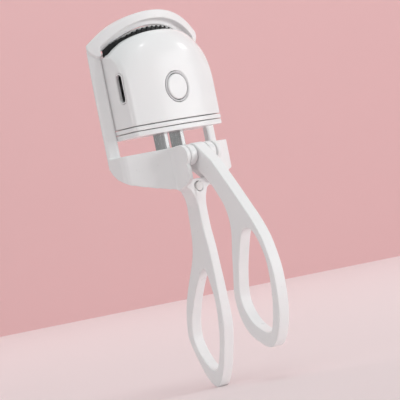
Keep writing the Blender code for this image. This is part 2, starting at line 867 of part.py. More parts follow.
def port_bezel():
    """The rim round the charging slot, let into the side wall."""
    outer = slot_outline(PORT_Y, PORT_Z, 2.9, 9.1)
    inner = slot_outline(PORT_Y, PORT_Z, 2.3, 8.4)
    piece("port_bezel", prism([outer, inner], "x", -18.25, -17.0), WHITE_HEAD)


def button_ring():
    outer = circle(0.0, BUTTON_Z, RING_RADIUS, 32)
    inner = circle(0.0, BUTTON_Z, BUTTON_RADIUS + 0.2, 32)
    piece("button_ring", prism([outer, inner], "y", 2.45, 3.6), GREY_RING)


def power_button():
    cap = cylinder("y", (0.0, BUTTON_Z), BUTTON_RADIUS, 2.3, 3.7, 32, 0.25)
    piece("power_button", cap, WHITE_HEAD, (0.0, 3.0, BUTTON_Z))


def switch_plunger():
    stem = cylinder("y", (0.0, BUTTON_Z), 0.8, 3.78, 4.35, 16)
    piece("switch_plunger", stem, BLACK_NYLON, (0.0, 4.0, BUTTON_Z))


def tact_switch():
    body = box((-2.2, 2.2), (4.3, 5.1), (BUTTON_Z - 2.2, BUTTON_Z + 2.2), 0.1)
    bore = cylinder("y", (0.0, BUTTON_Z), 1.0, 3.5, 4.9, 16)
    piece("tact_switch", cut(body, bore), STEEL)


def status_leds():
    for side, label in SIDES:
        x = side * 3.6
        lens = box((x - 0.5, x + 0.5), (4.4, 5.0), (BUTTON_Z - 0.8, BUTTON_Z + 0.8))
        piece(f"status_led_{label}", lens, LED)


def lift_yoke():
    """Bent steel yoke: a flange screwed to the base cap and two legs that reach down to the drive pin."""
    flange = box((-8.4, 8.4), (LEG_FRONT_Y, 11.4), (9.75, 10.6))
    legs = [leg_box(side, (LEG_BOTTOM_Z, 10.2)) for side in (-1, 1)]
    half_slot = DRIVE_PIN_RADIUS + 0.25
    slot = box((-9.0, 9.0), (LEVER_ARM - 2.05, LEVER_ARM + 1.4), (-half_slot, half_slot))
    piece("lift_yoke", cut(fuse(flange, *legs), slot, *yoke_screw_holes()), STEEL)


def yoke_screws():
    for side, label in SIDES:
        x, y = side * YOKE_SCREW_SPOT[0], YOKE_SCREW_SPOT[1]
        profile = [(0.45, 8.2), (0.55, 8.5), (0.55, 10.75), (1.2, 10.75), (1.2, 11.4)]
        rings = [[(a, b, z) for a, b in circle(x, y, radius, 12)] for radius, z in profile]
        piece(f"yoke_screw_{label}", loft(rings), STEEL)


def lead_wires():
    """Battery leads to the board, and heater leads from the board up to the holder."""
    for side, label in SIDES:
        x = 9.7 + 0.7 * side
        over = [(x, 8.4, 29.85), (x, 7.2, 30.3), (x, 6.0, 29.9), (x, 5.6, 28.6), (x, 5.55, 27.0)]
        piece(f"battery_lead_{label}", tube(smooth(over, 3, False), 0.3, 6), LEAD)
        x = 0.5 * side - 12.0
        rise = [(x, 6.1, 27.0), (x, 6.9, 29.4), (x, 8.4, 31.2), (x, 10.4, 32.0)]
        piece(f"heater_lead_{label}", tube(smooth(rise, 3, False), 0.3, 6), LEAD)


# ---------------------------------------------------------------- front handle

FRONT_OUTLINE = [
    (-7.4, -3.1),
    (-9.8, -7.0),
    (-12.9, -12.0),
    (-16.0, -17.2),
    (-19.0, -22.3),
    (-21.4, -27.6),
    (-22.7, -32.5),
    (-23.5, -37.5),
    (-23.6, -42.0),
    (-23.3, -46.8),
    (-22.5, -51.4),
    (-21.2, -55.2),
    (-19.4, -58.4),
    (-17.4, -60.1),
    (-15.0, -59.9),
    (-12.6, -58.4),
    (-10.4, -56.8),
    (-8.6, -54.8),
    (-7.0, -51.9),
    (-6.1, -48.6),
    (-5.7, -45.0),
    (-5.9, -41.8),
    (-6.9, -37.4),
    (-7.9, -32.6),
    (-8.9, -28.4),
    (-9.7, -24.6),
    (-9.8, -21.0),
    (-9.0, -17.0),
    (-7.4, -13.6),
    (-5.3, -9.9),
    (-3.4, -7.5),
    (-1.6, -5.9),
]
FRONT_LOOP = [
    (-15.8, -24.6),
    (-14.1, -25.4),
    (-12.8, -27.8),
    (-11.3, -31.6),
    (-9.9, -35.6),
    (-8.8, -39.8),
    (-8.2, -43.6),
    (-8.5, -46.8),
    (-9.7, -49.9),
    (-11.7, -52.7),
    (-14.3, -54.8),
    (-16.6, -55.9),
    (-18.1, -55.3),
    (-19.3, -52.9),
    (-20.4, -49.0),
    (-21.2, -44.6),
    (-21.6, -39.6),
    (-21.5, -34.8),
    (-20.6, -30.8),
    (-19.3, -27.4),
    (-17.7, -25.2),
]


def front_handle():
    """Hub, lever arm and finger loop in one plate, with a barrel on each side of the hub."""
    hub = arc(0.0, 0.0, NOSE_RADIUS + 0.1, 90, 128, 3)
    lever_tip = arc(LEVER_ARM, 0.0, 2.2, -90, 90, 8)
    lower = [(1.4, -4.1), (4.0, -2.7), (6.8, -2.2)]
    limb = smooth(FRONT_OUTLINE, 2, False)
    outline = hub + limb + lower + lever_tip + [(5.4, 2.3), (2.4, 3.0)]
    loop = smooth(FRONT_LOOP, 2)
    plate = prism([outline, loop], "x", -FRONT_HANDLE_HALF, FRONT_HANDLE_HALF, 0.3)
    barrel = cylinder("x", (0.0, 0.0), BARREL_RADIUS, -BARREL_HALF_WIDTH, BARREL_HALF_WIDTH, 28, 0.2)
    bore = cylinder("x", (0.0, 0.0), HINGE_PIN_RADIUS + 0.15, -8.0, 8.0, 20)
    drive = cylinder("x", (LEVER_ARM, 0.0), DRIVE_PIN_RADIUS + 0.12, -8.0, 8.0, 16)
    piece("front_handle", cut(fuse(plate, barrel), bore, drive), WHITE)


def drive_pin():
    pin = cylinder("x", (LEVER_ARM, 0.0), DRIVE_PIN_RADIUS, -4.9, 4.9, 16, 0.15)
    piece("drive_pin", pin, STEEL)


MAKERS = (
    frame, jaw_pad, hinge_pin, handle_bumper,
    front_shell, rear_shell, shell_screws, trim_ring, base_cap, port_bezel, button_ring,
    heater_holder, lash_comb, heater_plate, heating_elements, heat_shield, thermistor,
    battery_cell, circuit_board, chips, usb_c_socket, usb_tongue, tact_switch, status_leds, lead_wires,
    lift_yoke, yoke_screws, power_button, switch_plunger,
    front_handle, drive_pin,
)


def main():
    for old in list(bpy.data.objects):
        bpy.data.objects.remove(old)
    for make in MAKERS:
        make()


main()
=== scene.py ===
"""The looks of a heated scissor eyelash curler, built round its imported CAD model.

Shapes are drawn in millimetres from the hinge axis, as the CAD draws them, and placed in metres.
x runs to the right, y to the back and z up."""

import math

import bmesh
import bpy
from mathutils import Matrix, Vector


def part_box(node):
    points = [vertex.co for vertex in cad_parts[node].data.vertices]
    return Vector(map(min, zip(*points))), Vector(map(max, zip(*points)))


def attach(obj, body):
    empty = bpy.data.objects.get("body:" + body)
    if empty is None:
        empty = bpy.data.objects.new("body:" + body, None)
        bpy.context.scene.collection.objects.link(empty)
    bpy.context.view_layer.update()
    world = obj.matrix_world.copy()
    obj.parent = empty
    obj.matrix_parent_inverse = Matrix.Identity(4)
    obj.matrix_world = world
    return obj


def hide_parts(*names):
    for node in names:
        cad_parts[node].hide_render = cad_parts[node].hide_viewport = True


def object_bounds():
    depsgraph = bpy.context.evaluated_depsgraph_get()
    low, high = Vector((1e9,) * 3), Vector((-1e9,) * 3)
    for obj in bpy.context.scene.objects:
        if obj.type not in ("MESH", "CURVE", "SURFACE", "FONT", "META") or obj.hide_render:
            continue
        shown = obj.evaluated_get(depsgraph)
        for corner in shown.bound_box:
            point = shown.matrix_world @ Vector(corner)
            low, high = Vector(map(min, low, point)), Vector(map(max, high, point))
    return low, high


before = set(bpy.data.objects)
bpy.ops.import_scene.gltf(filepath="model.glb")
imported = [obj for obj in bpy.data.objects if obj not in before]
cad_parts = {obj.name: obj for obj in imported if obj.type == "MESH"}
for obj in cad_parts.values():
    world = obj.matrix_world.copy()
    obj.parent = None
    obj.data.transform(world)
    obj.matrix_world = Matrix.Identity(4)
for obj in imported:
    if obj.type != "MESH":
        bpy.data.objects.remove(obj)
cad_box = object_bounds()

MM = 0.001
PIN_LOW, PIN_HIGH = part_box("hinge_pin")
HINGE = (PIN_LOW + PIN_HIGH) / 2 / MM
PLACE = Matrix.Scale(MM, 4) @ Matrix.Translation(HINGE)

# Upper jaw
JAW_HALF_WIDTH = 22.7
JAW_FRONT_Y = 6.9
JAW_BOW = 6.7
JAW_BOW_POWER = 1.88
JAW_END_Z = 37.5
JAW_RISE = 7.7
JAW_RISE_POWER = 2.16
JAW_DEPTH = 4.0
JAW_TAPER = 3.5
JAW_TAPER_START = 12.3
JAW_END_START = 19.5
JAW_END_LIFT = 2.6
LIP_HEIGHT = 2.7
LIP_END_DROP = 0.9
LIP_SPAN = 18.9
RECESS_HALF_SPAN = 19.2
RECESS_TAPER_START = 17.4
CHANNEL_BACK = 2.0
CHANNEL_NARROWING = 0.9
CLAMP_TOP_Z = 40.2
CLAMP_SPAN = 7.5
CLAMP_POWER = 2.1
PAD_FRONT = 2.1
PAD_HEIGHT = 0.65
PAD_SINK = 0.1
PAD_SEAT = 0.1
PAD_HALF_SPAN = 16.9
BUMPER_SPOT = (0.0, -9.6)

# Window, rails and fork
WINDOW_HALF_WIDTH = 18.5
RAIL_SLIM_Z = 24.0
RAIL_TOP_Z = 36.0
JAW_END_CLEAR_Z = 35.3
CROSSBAR_TOP_Z = 3.1
NOSE_RADIUS = 3.25
CHEEK_INSIDE = 5.7
CHEEK_OUTSIDE = 7.2
NECK_FRONT_Y = 2.1

# Sliding head
HEAD_HALF_WIDTH = 18.15
HEAD_FRONT_Y = 2.5
HEAD_FRONT_BOW = 2.1
HEAD_CORNER = 1.6
HEAD_BACK_Y = 13.9
HEAD_BACK_BOW = 2.4
HEAD_BOTTOM_Z = 8.0
TRIM_BOTTOM_Z = 9.7
TRIM_TOP_Z = 10.95
TRIM_OVERHANG = 0.1
TRIM_WALL = 0.7
TRIM_GROOVE = 0.2
SHELL_BOTTOM_Z = 11.2
RIM_TOP_Z = 38.95
RIM_CROWN_DROP = 0.6
RIM_CROWN_SPAN = 7.7
RIM_CROWN_POWER = 2.48
RIM_END_DROP = 0.9
RIM_END_START = 11.0
RIM_END_SPAN = 6.5
RIM_Y = 6.2
RIM_BOW = 7.0
SHOULDER_HEIGHT = 12.5
SHOULDER_STEPS = 28
STRAIGHT_STEPS = 10
REAR_STEPS = 36
WALL = 1.1
PARTING_Y = 12.4
PARTING_BOW = 2.4
PARTING_GAP = 0.3
SCREW_SPOTS = [(-15.0, 14.0), (15.0, 14.0), (-15.0, 29.2), (15.0, 29.2)]
BOSS_FRONTS = (4.8, 4.8, 6.0, 6.0)
CROSS_LENGTH = 0.62
CROSS_WIDTH = 0.11
CROSS_DEPTH = 0.35

# Comb, its holder and the curling plate; their fronts are counted from the jaw's front
COMB_FRONT = 1.15
COMB_BACK = 0.6
COMB_WEB_SETBACK = 0.32
COMB_HALF_SPAN = 17.7
COMB_END_RISE = 1.0
COMB_RISE_START = 9.5
COMB_RISE_SPAN = 7.0
NOTCH_DEPTH = 0.25
NOTCH_START = 7.0
NOTCH_SPAN = 4.0
TOOTH_PITCH = 1.9
TOOTH_COUNT = 17
TOOTH_BASE = 0.68
TOOTH_TIP = 0.36
HOLDER_HALF_SPAN = 16.8
PLATE_FRONT = 1.95
PLATE_BELOW_TIPS = 1.8
PLATE_HALF_SPAN = 16.4

# Handles, hinge and yoke
HINGE_BORE = 1.25
FRONT_HANDLE_HALF = 2.2
REAR_HANDLE_HALF = 2.15
REAR_SHANK_HALF = 1.8
REAR_SHANK_Z = -35.0
REAR_FULL_Z = -52.0
LEVER_ARM = 10.6
LEG_INSIDE = 2.5
LEG_OUTSIDE = 4.2
LEG_FRONT_Y = 8.2
LEG_BACK_Y = 13.0
LEG_BOTTOM_Z = -2.5
YOKE_SLOT_HALF = 1.25
YOKE_SCREW_SPOT = (6.8, 9.6)
YOKE_SCREW_TOP_Z = 11.4

# Steps in a rounded edge, smoothing passes over a moulded skin, and the angle of a sharp edge in degrees
EDGE_STEPS = 4
SMOOTHING_PASSES = 3
SHARP_ANGLE = 38.0

# Power button and port
BUTTON_Z = 20.9
BUTTON_RADIUS = 3.85
RING_RADIUS = 4.6
RING_BORE = 4.05
PORT_Y = 7.6
PORT_Z = 22.9
PORT_HOLE = (3.1, 9.3)
PORT_RIM_OUTSIDE = (2.9, 9.1)
PORT_RIM_INSIDE = (2.3, 8.4)


# ---------------------------------------------------------------- outlines


def circle(cy, cz, radius, count):
    turn = 2 * math.pi / count
    return [(cy + radius * math.cos(turn * i), cz + radius * math.sin(turn * i)) for i in range(count)]


def arc(cy, cz, radius, start, end, steps):
    angles = [math.radians(start + (end - start) * i / steps) for i in range(steps + 1)]
    return [(cy + radius * math.cos(a), cz + radius * math.sin(a)) for a in angles]


def spread(low, high, count):
    return [low + (high - low) * i / count for i in range(count + 1)]


def blend(a, b, c, d, t):
    """The Catmull-Rom value between b and c, at the share t of the way."""
    bend = (2 * a - 5 * b + 4 * c - d) * t * t
    return 0.5 * (2 * b + (c - a) * t + bend + (3 * b - a - 3 * c + d) * t**3)


def smooth(points, per_span, closed=True):
    """A Catmull-Rom curve through the points."""
    count = len(points)
    spans = count if closed else count - 1
    result = []
    for i in range(spans):
        if closed:
            p0, p1, p2, p3 = (points[(i + k) % count] for k in (-1, 0, 1, 2))
        else:
            p0, p1, p2, p3 = (points[min(max(i + k, 0), count - 1)] for k in (-1, 0, 1, 2))
        for step in range(per_span):
            result.append(tuple(blend(*values, step / per_span) for values in zip(p0, p1, p2, p3)))
    if not closed:
        result.append(points[-1])
    return result


def area(loop):
    return 0.5 * sum(a[0] * b[1] - b[0] * a[1] for a, b in zip(loop, loop[1:] + loop[:1]))


def offset(loop, distance):
    """Moves a closed loop outward by the distance, along the mean normal of each corner."""
    side = 1.0 if area(loop) > 0 else -1.0
    result = []
    count = len(loop)
    for i, point in enumerate(loop):
        before, after = Vector(loop[i - 1]), Vector(loop[(i + 1) % count])
        here = Vector(point)
        one = (here - before).normalized()
        two = (after - here).normalized()
        normal = Vector((one.y + two.y, -one.x - two.x))
        length = max(normal.length, 0.2)
        reach = 2.0 / max(length, 1.2)
        result.append(tuple(here + normal / length * (side * distance * reach)))
    return result


def slot_outline(cy, cz, width, height):
    radius = width / 2
    reach = height / 2 - radius
    return arc(cy, cz + reach, radius, 0, 180, 14) + arc(cy, cz - reach, radius, 180, 360, 14)


# ---------------------------------------------------------------- solids

AXES = {
    "x": lambda a, b, c: (c, a, b),
    "y": lambda a, b, c: (a, c, b),
    "z": lambda a, b, c: (a, b, c),
}
SIDES = ((-1, "left"), (1, "right"))


def bridge(bm, one, two):
    """A band of faces between two closed rings of as many points."""
    for i in range(len(one)):
        j = (i + 1) % len(one)
        bm.faces.new((one[i], one[j], two[j], two[i]))


def prism(loops, axis, low, high, radius=0.0):
    """The first loop is the outline and the others are holes; the edges are rounded to the radius."""
    place = AXES[axis]
    bm = bmesh.new()
    levels = [(low, 0.0), (high, 0.0)]
    if radius:
        turns = [math.pi / 2 * i / EDGE_STEPS for i in range(EDGE_STEPS + 1)]
        lower = [(low + radius * (1 - math.sin(a)), radius * (1 - math.cos(a))) for a in reversed(turns)]
        upper = [(high - radius * (1 - math.sin(a)), radius * (1 - math.cos(a))) for a in turns]
        levels = lower + upper
    rims = {0: [], len(levels) - 1: []}
    for index, loop in enumerate(loops):
        grow = -1.0 if index == 0 else 1.0
        rings = []
        for level, inset in levels:
            outline = offset(loop, grow * inset) if inset else loop
            rings.append([bm.verts.new(place(a, b, level)) for a, b in outline])
        for one, two in zip(rings, rings[1:]):
            bridge(bm, one, two)
        for level in rims:
            ring = rings[level]
            for i in range(len(ring)):
                rims[level].append(bm.edges.get((ring[i], ring[(i + 1) % len(ring)])))
    for edges in rims.values():
        bmesh.ops.triangle_fill(bm, use_beauty=True, use_dissolve=False, edges=edges)
    bmesh.ops.recalc_face_normals(bm, faces=bm.faces)
    return bm


def box(x, y, z, radius=0.0):
    outline = [(x[0], y[0]), (x[1], y[0]), (x[1], y[1]), (x[0], y[1])]
    return prism([outline], "z", z[0], z[1], radius)


def cylinder(axis, centre, radius, low, high, count=48, rounding=0.0):
    return prism([circle(centre[0], centre[1], radius, count)], axis, low, high, rounding)


def loft(rings):
    bm = bmesh.new()
    made = [[bm.verts.new(p) for p in ring] for ring in rings]
    for one, two in zip(made, made[1:]):
        bridge(bm, one, two)
    bm.faces.new(made[0])
    bm.faces.new(made[-1])
    bmesh.ops.triangulate(bm, faces=[f for f in bm.faces if len(f.verts) > 4])
    bmesh.ops.recalc_face_normals(bm, faces=bm.faces)
    return bm


def strip(section, low, high, count=110):
    """A solid swept across the object: section(x) gives the closed outline in y and z."""
    return loft([[(x, y, z) for y, z in section(x)] for x in spread(low, high, count)])


def lathe(profile, axis, centre, count=72):
    """A turned solid: the profile is radius and place along the axis."""
    place = AXES[axis]
    rings = []
    for radius, along in profile:
        rings.append([place(a, b, along) for a, b in circle(*centre, radius, count)])
    return loft(rings)


def joined(parts):
    result = bmesh.new()
    for part in parts:
        mesh = bpy.data.meshes.new("joined")
        part.to_mesh(mesh)
        result.from_mesh(mesh)
        bpy.data.meshes.remove(mesh)
        part.free()
    return result


def temporary(bm):
    mesh = bpy.data.meshes.new("temporary")
    bm.to_mesh(mesh)
    bm.free()
    shape = bpy.data.objects.new("temporary", mesh)
    bpy.context.scene.collection.objects.link(shape)
    return shape


def discard(shape):
    data = shape.data
    bpy.data.objects.remove(shape)
    bpy.data.meshes.remove(data)


def evaluated_mesh(shape):
    graph = bpy.context.evaluated_depsgraph_get()
    return bpy.data.meshes.new_from_object(shape.evaluated_get(graph))


def boolean(bm, other, operation):
    target, tool = temporary(bm), temporary(other)
    modifier = target.modifiers.new("cut", "BOOLEAN")
    modifier.operation = operation
    modifier.solver = "EXACT"
    modifier.object = tool
    mesh = evaluated_mesh(target)
    result = bmesh.new()
    result.from_mesh(mesh)
    bpy.data.meshes.remove(mesh)
    discard(target)
    discard(tool)
    return result


def cut(bm, *tools):
    for tool in tools:
        bm = boolean(bm, tool, "DIFFERENCE")
    return bm


def remeshed(solids, voxel):
    """Overlapping solids as one moulded skin, with the edges and inner corners softened."""
    shape = temporary(joined(solids))
    remesh = shape.modifiers.new("skin", "REMESH")
    remesh.mode = "VOXEL"
    remesh.voxel_size = voxel
    remesh.use_smooth_shade = True
    soften = shape.modifiers.new("soften", "SMOOTH")
    soften.factor = 0.5
    soften.iterations = SMOOTHING_PASSES
    mesh = evaluated_mesh(shape)
    discard(shape)
    return mesh


# ---------------------------------------------------------------- placing


def show(name, mesh, material, body, replaced):
    """Places a mesh drawn in millimetres, and has it ride on its body in place of the CAD nodes."""
    mesh.transform(PLACE)
    mesh.name = name
    mesh.materials.clear()
    mesh.materials.append(material)
    shape = bpy.data.objects.new(name, mesh)
    bpy.context.scene.collection.objects.link(shape)
    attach(shape, body)
    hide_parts(*replaced)
    return shape


def moulded(name, solids, material, body, replaced, voxel):
    """A moulded piece: one soft-edged skin over all its solids."""
    show(name, remeshed(solids, voxel), material, body, replaced)


def machined(name, bm, material, body, replaced, angle=SHARP_ANGLE):
    """A crisp piece: smooth shading between sharp edges, with each flat face shaded flat."""
    mesh = bpy.data.meshes.new(name)
    bm.to_mesh(mesh)
    bm.free()
    mesh.shade_smooth()
    mesh.set_sharp_from_angle(angle=math.radians(angle))
    shape = show(name, mesh, material, body, replaced)
    weighted = shape.modifiers.new("shading", "WEIGHTED_NORMAL")
    weighted.keep_sharp = True


# ---------------------------------------------------------------- materials


def new_material(name, colour, roughness, metallic=0.0):
    made = bpy.data.materials.new(name)
    made.use_nodes = True
    shader = made.node_tree.nodes["Principled BSDF"]
    shader.inputs["Base Color"].default_value = (*colour, 1.0)
    shader.inputs["Roughness"].default_value = roughness
    shader.inputs["Metallic"].default_value = metallic
    return made, shader


def coordinates(tree, stretch=(1.0, 1.0, 1.0)):
    where = tree.nodes.new("ShaderNodeTexCoord")
    mapping = tree.nodes.new("ShaderNodeMapping")
    mapping.inputs["Scale"].default_value = stretch
    tree.links.new(where.outputs["Object"], mapping.inputs["Vector"])
    return mapping.outputs["Vector"]


def noise(tree, vector, scale, detail=3.0, roughness=0.5):
    made = tree.nodes.new("ShaderNodeTexNoise")
    made.inputs["Scale"].default_value = scale
    made.inputs["Detail"].default_value = detail
    made.inputs["Roughness"].default_value = roughness
    tree.links.new(vector, made.inputs["Vector"])
    return made.outputs["Fac"]


def ramp(tree, factor, low, high, start=0.3, end=0.7):
    made = tree.nodes.new("ShaderNodeValToRGB")
    first, last = made.color_ramp.elements
    first.position, last.position = start, end
    first.color, last.color = (*low, 1.0), (*high, 1.0)
    tree.links.new(factor, made.inputs["Fac"])
    return made.outputs["Color"]


def ranged(tree, factor, low, high):
    made = tree.nodes.new("ShaderNodeMapRange")
    made.inputs["From Min"].default_value = 0.3
    made.inputs["From Max"].default_value = 0.7
    made.inputs["To Min"].default_value = low
    made.inputs["To Max"].default_value = high
    tree.links.new(factor, made.inputs["Value"])
    return made.outputs["Result"]


def bumped(tree, shader, height, strength, distance):
    made = tree.nodes.new("ShaderNodeBump")
    made.inputs["Strength"].default_value = strength
    made.inputs["Distance"].default_value = distance
    tree.links.new(height, made.inputs["Height"])
    tree.links.new(made.outputs["Normal"], shader.inputs["Normal"])


def surface(
    name, low, high, rough, metallic=0.0, grain=4000.0, depth=0.00001, patch=70.0, stretch=(1.0, 1.0, 1.0)
):
    """A finish whose colour drifts in broad patches, and whose gloss varies finely, with a fine grain."""
    made, shader = new_material(name, high, sum(rough) / 2, metallic)
    tree = made.node_tree
    where = coordinates(tree, stretch)
    tree.links.new(ramp(tree, noise(tree, where, patch), low, high), shader.inputs["Base Color"])
    gloss = noise(tree, where, patch * 9.0, 4.0, 0.6)
    tree.links.new(ranged(tree, gloss, *rough), shader.inputs["Roughness"])
    bumped(tree, shader, noise(tree, where, grain, 4.0, 0.6), 0.35, depth)
    return made


def coated(material, weight, roughness):
    shader = material.node_tree.nodes["Principled BSDF"]
    shader.inputs["Coat Weight"].default_value = weight
    shader.inputs["Coat Roughness"].default_value = roughness


def board_material():
    """Green solder mask over copper tracks."""
    made, shader = new_material("solder_mask", (0.02, 0.16, 0.06), 0.35)
    tree = made.node_tree
    where = coordinates(tree)
    tracks = tree.nodes.new("ShaderNodeTexVoronoi")
    tracks.distance = "MANHATTAN"
    tracks.feature = "DISTANCE_TO_EDGE"
    tracks.inputs["Scale"].default_value = 620.0
    tree.links.new(where, tracks.inputs["Vector"])
    edge = tracks.outputs["Distance"]
    colour = ramp(tree, edge, (0.05, 0.3, 0.12), (0.015, 0.13, 0.05), 0.05, 0.09)
    tree.links.new(colour, shader.inputs["Base Color"])
    bumped(tree, shader, edge, 0.3, 0.00003)
    return made


WHITE = surface("white_abs", (0.86, 0.862, 0.865), (0.885, 0.885, 0.885), (0.27, 0.34))
WHITE_HEAD = surface("white_gloss", (0.875, 0.877, 0.88), (0.895, 0.895, 0.895), (0.2, 0.26))
coated(WHITE_HEAD, 0.35, 0.06)
TRIM = surface("grey_trim", (0.64, 0.64, 0.65), (0.74, 0.74, 0.75), (0.28, 0.38), metallic=0.15)
NYLON = surface(
    "black_nylon", (0.008, 0.008, 0.009), (0.02, 0.02, 0.021), (0.4, 0.52), grain=3000.0, depth=0.00003
)
STEEL = surface(
    "brushed_steel",
    (0.5, 0.51, 0.51),
    (0.6, 0.61, 0.61),
    (0.2, 0.28),
    metallic=0.9,
    grain=900.0,
    depth=0.000001,
    patch=60.0,
    stretch=(9.0, 9.0, 1.0),
)
DARK_STEEL = surface("port_steel", (0.02, 0.02, 0.02), (0.05, 0.05, 0.052), (0.35, 0.5), metallic=0.6)
COATING = surface(
    "heater_coating", (0.02, 0.02, 0.022), (0.05, 0.05, 0.055), (0.26, 0.4), metallic=0.4, grain=2600.0
)
SILICONE = surface(
    "white_silicone", (0.8, 0.8, 0.79), (0.86, 0.86, 0.85), (0.5, 0.66), grain=2500.0, depth=0.00003
)
FOIL = surface(
    "battery_foil",
    (0.55, 0.56, 0.6),
    (0.75, 0.76, 0.79),
    (0.25, 0.45),
    metallic=0.85,
    grain=500.0,
    depth=0.00008,
)
WIRE = surface("lead_wire", (0.5, 0.03, 0.02), (0.65, 0.06, 0.04), (0.35, 0.5))
LENS = surface("led_lens", (0.85, 0.82, 0.66), (0.95, 0.93, 0.8), (0.12, 0.2))
coated(LENS, 0.5, 0.05)
CERAMIC = surface(
    "ptc_ceramic", (0.22, 0.19, 0.16), (0.4, 0.35, 0.3), (0.6, 0.8), grain=2000.0, depth=0.00004, patch=400.0
)
BOARD = board_material()


# ---------------------------------------------------------------- shared curves


def share_past(x, start, end):
    """How far a place is past the start on its way to the end, on either side of the middle: 0 to 1."""
    return min(1.0, max(0.0, abs(x) - start) / (end - start))


def jaw_front(x):
    return JAW_FRONT_Y + JAW_BOW * abs(x / JAW_HALF_WIDTH) ** JAW_BOW_POWER


def jaw_top(x):
    return JAW_END_Z + JAW_RISE * (1 - abs(x / JAW_HALF_WIDTH) ** JAW_RISE_POWER)


def jaw_depth(x):
    return JAW_DEPTH - JAW_TAPER * share_past(x, JAW_TAPER_START, JAW_HALF_WIDTH) ** 1.5


def lip_edge(x):
    return jaw_top(x) - LIP_HEIGHT - LIP_END_DROP * (abs(x) / LIP_SPAN) ** 3


def clamp_line(x):
    """Height of the curve along which the pad and the comb meet; both follow it across the jaw."""
    return CLAMP_TOP_Z - (abs(x) / CLAMP_SPAN) ** CLAMP_POWER


def rim_height(x):
    """Height of the head's upper rim, which drops a little faster near its ends."""
    crown = RIM_CROWN_DROP * (abs(x) / RIM_CROWN_SPAN) ** RIM_CROWN_POWER
    ends = RIM_END_DROP * (max(0.0, abs(x) - RIM_END_START) / RIM_END_SPAN) ** 2
    return RIM_TOP_Z - crown - ends


def comb_rise(x):
    """How much higher the comb stands towards its ends, behind the lip."""
    share = share_past(x, COMB_RISE_START, COMB_RISE_START + COMB_RISE_SPAN)
    return COMB_END_RISE * share * share * (3 - 2 * share)


def rim_line(x):
    return RIM_Y + RIM_BOW * (x / JAW_HALF_WIDTH) ** 2


def head_front(x):
    return HEAD_FRONT_Y + HEAD_FRONT_BOW * (x / (HEAD_HALF_WIDTH - HEAD_CORNER)) ** 2


def head_back(x):
    return HEAD_BACK_Y + HEAD_BACK_BOW * (x / HEAD_HALF_WIDTH) ** 2


def parting(x):
    return PARTING_Y + PARTING_BOW * (x / HEAD_HALF_WIDTH) ** 2


def head_outline(inset=0.0, back=head_back):
    """Plan outline of the head: left corner, front and right corner, then the curved back."""
    half = HEAD_HALF_WIDTH - HEAD_CORNER
    radius = HEAD_CORNER - inset
    centre_y = head_front(half) + HEAD_CORNER
    left = arc(-half, centre_y, radius, 180, 255, 12)
    front = [(x, head_front(x) + inset) for x in spread(-half, half, 70)[1:-1]]
    right = arc(half, centre_y, radius, 285, 360, 12)
    wide = HEAD_HALF_WIDTH - inset
    rear = [(x, back(x)) for x in spread(wide, -wide, REAR_STEPS)]
    return left + front + right + rear


# ---------------------------------------------------------------- frame


def jaw_bottom(x):
    """Height of the jaw's underside, just above the pad, which sinks a little below the clamp line."""
    share = share_past(x, JAW_END_START, JAW_HALF_WIDTH)
    return clamp_line(min(abs(x), JAW_END_START)) + PAD_HEIGHT + PAD_SEAT + JAW_END_LIFT * share**2


def jaw_section(x):
    front, top, depth, bottom = jaw_front(x), jaw_top(x), jaw_depth(x), jaw_bottom(x)
    near, far = min(0.45, 0.35 * depth), min(0.9, 0.5 * depth)
    fore = arc(front + near, top - near, near, 180, 90, 5)
    aft = arc(front + depth - far, top - 0.05 - far, far, 90, 0, 6)
    return [(front, bottom), *fore, *aft, (front + depth, bottom)]


def recess_section(x):
    """The smooth hollow below the front lip, up to the channel that takes the comb's tips."""
    front, edge, low = jaw_front(x), lip_edge(x), clamp_line(x) - 3.2
    back = CHANNEL_BACK - CHANNEL_NARROWING * share_past(x, RECESS_TAPER_START, RECESS_HALF_SPAN)
    curve = [(back - 0.8, -0.08), (back - 0.3, -0.22), (back - 0.07, -0.45), (back, -0.8)]
    roof = [(front + y, edge + z) for y, z in [(0.0, 0.1), (0.6, 0.02), *curve]]
    return [(front - 2.0, low), (front - 2.0, edge), *roof, (front + back, low)]


RAIL_FRONT = [(18.5, 13.3), (18.55, 13.1), (19.5, 12.85)]
RAIL_SIDE = [(22.2, 13.6), (22.7, 14.1), (22.6, 14.6), (21.8, 15.3)]
RAIL_TOP_SIDE = [(20.8, 13.1), (21.6, 13.8), (22.2, 14.7), (21.7, 15.2)]
RAIL_INSIDE = [(18.7, 14.9)]


def rail(side):
    levels = ((0.0, RAIL_SIDE), (RAIL_SLIM_Z, RAIL_SIDE), (RAIL_TOP_Z, RAIL_TOP_SIDE))
    return loft([[(side * x, y, z) for x, y in RAIL_FRONT + plan + RAIL_INSIDE] for z, plan in levels])


def keel():
    """The crossbar under the window: a block whose underside slopes down and forward to the fork."""
    half = [(6.6, 3.5), (14.0, 5.7), (20.8, 8.1), (21.7, 8.7), (22.2, 9.8), (22.7, 14.1), (21.8, 15.3)]
    plan = [(-x, y) for x, y in reversed(half)] + half
    body = prism([plan], "z", -12.0, CROSSBAR_TOP_Z)
    top = CROSSBAR_TOP_Z + 1.0
    slope = [(3.3, -9.9), (6.0, -7.7), (9.0, -5.2), (11.6, -3.6), (13.4, -1.8), (14.6, 0.2), (16.5, 2.0)]
    profile = [(-1.0, top), (-1.0, -13.5), *smooth(slope, 5, False), (16.5, top)]
    return boolean(body, prism([profile], "x", -30.0, 30.0), "INTERSECT")


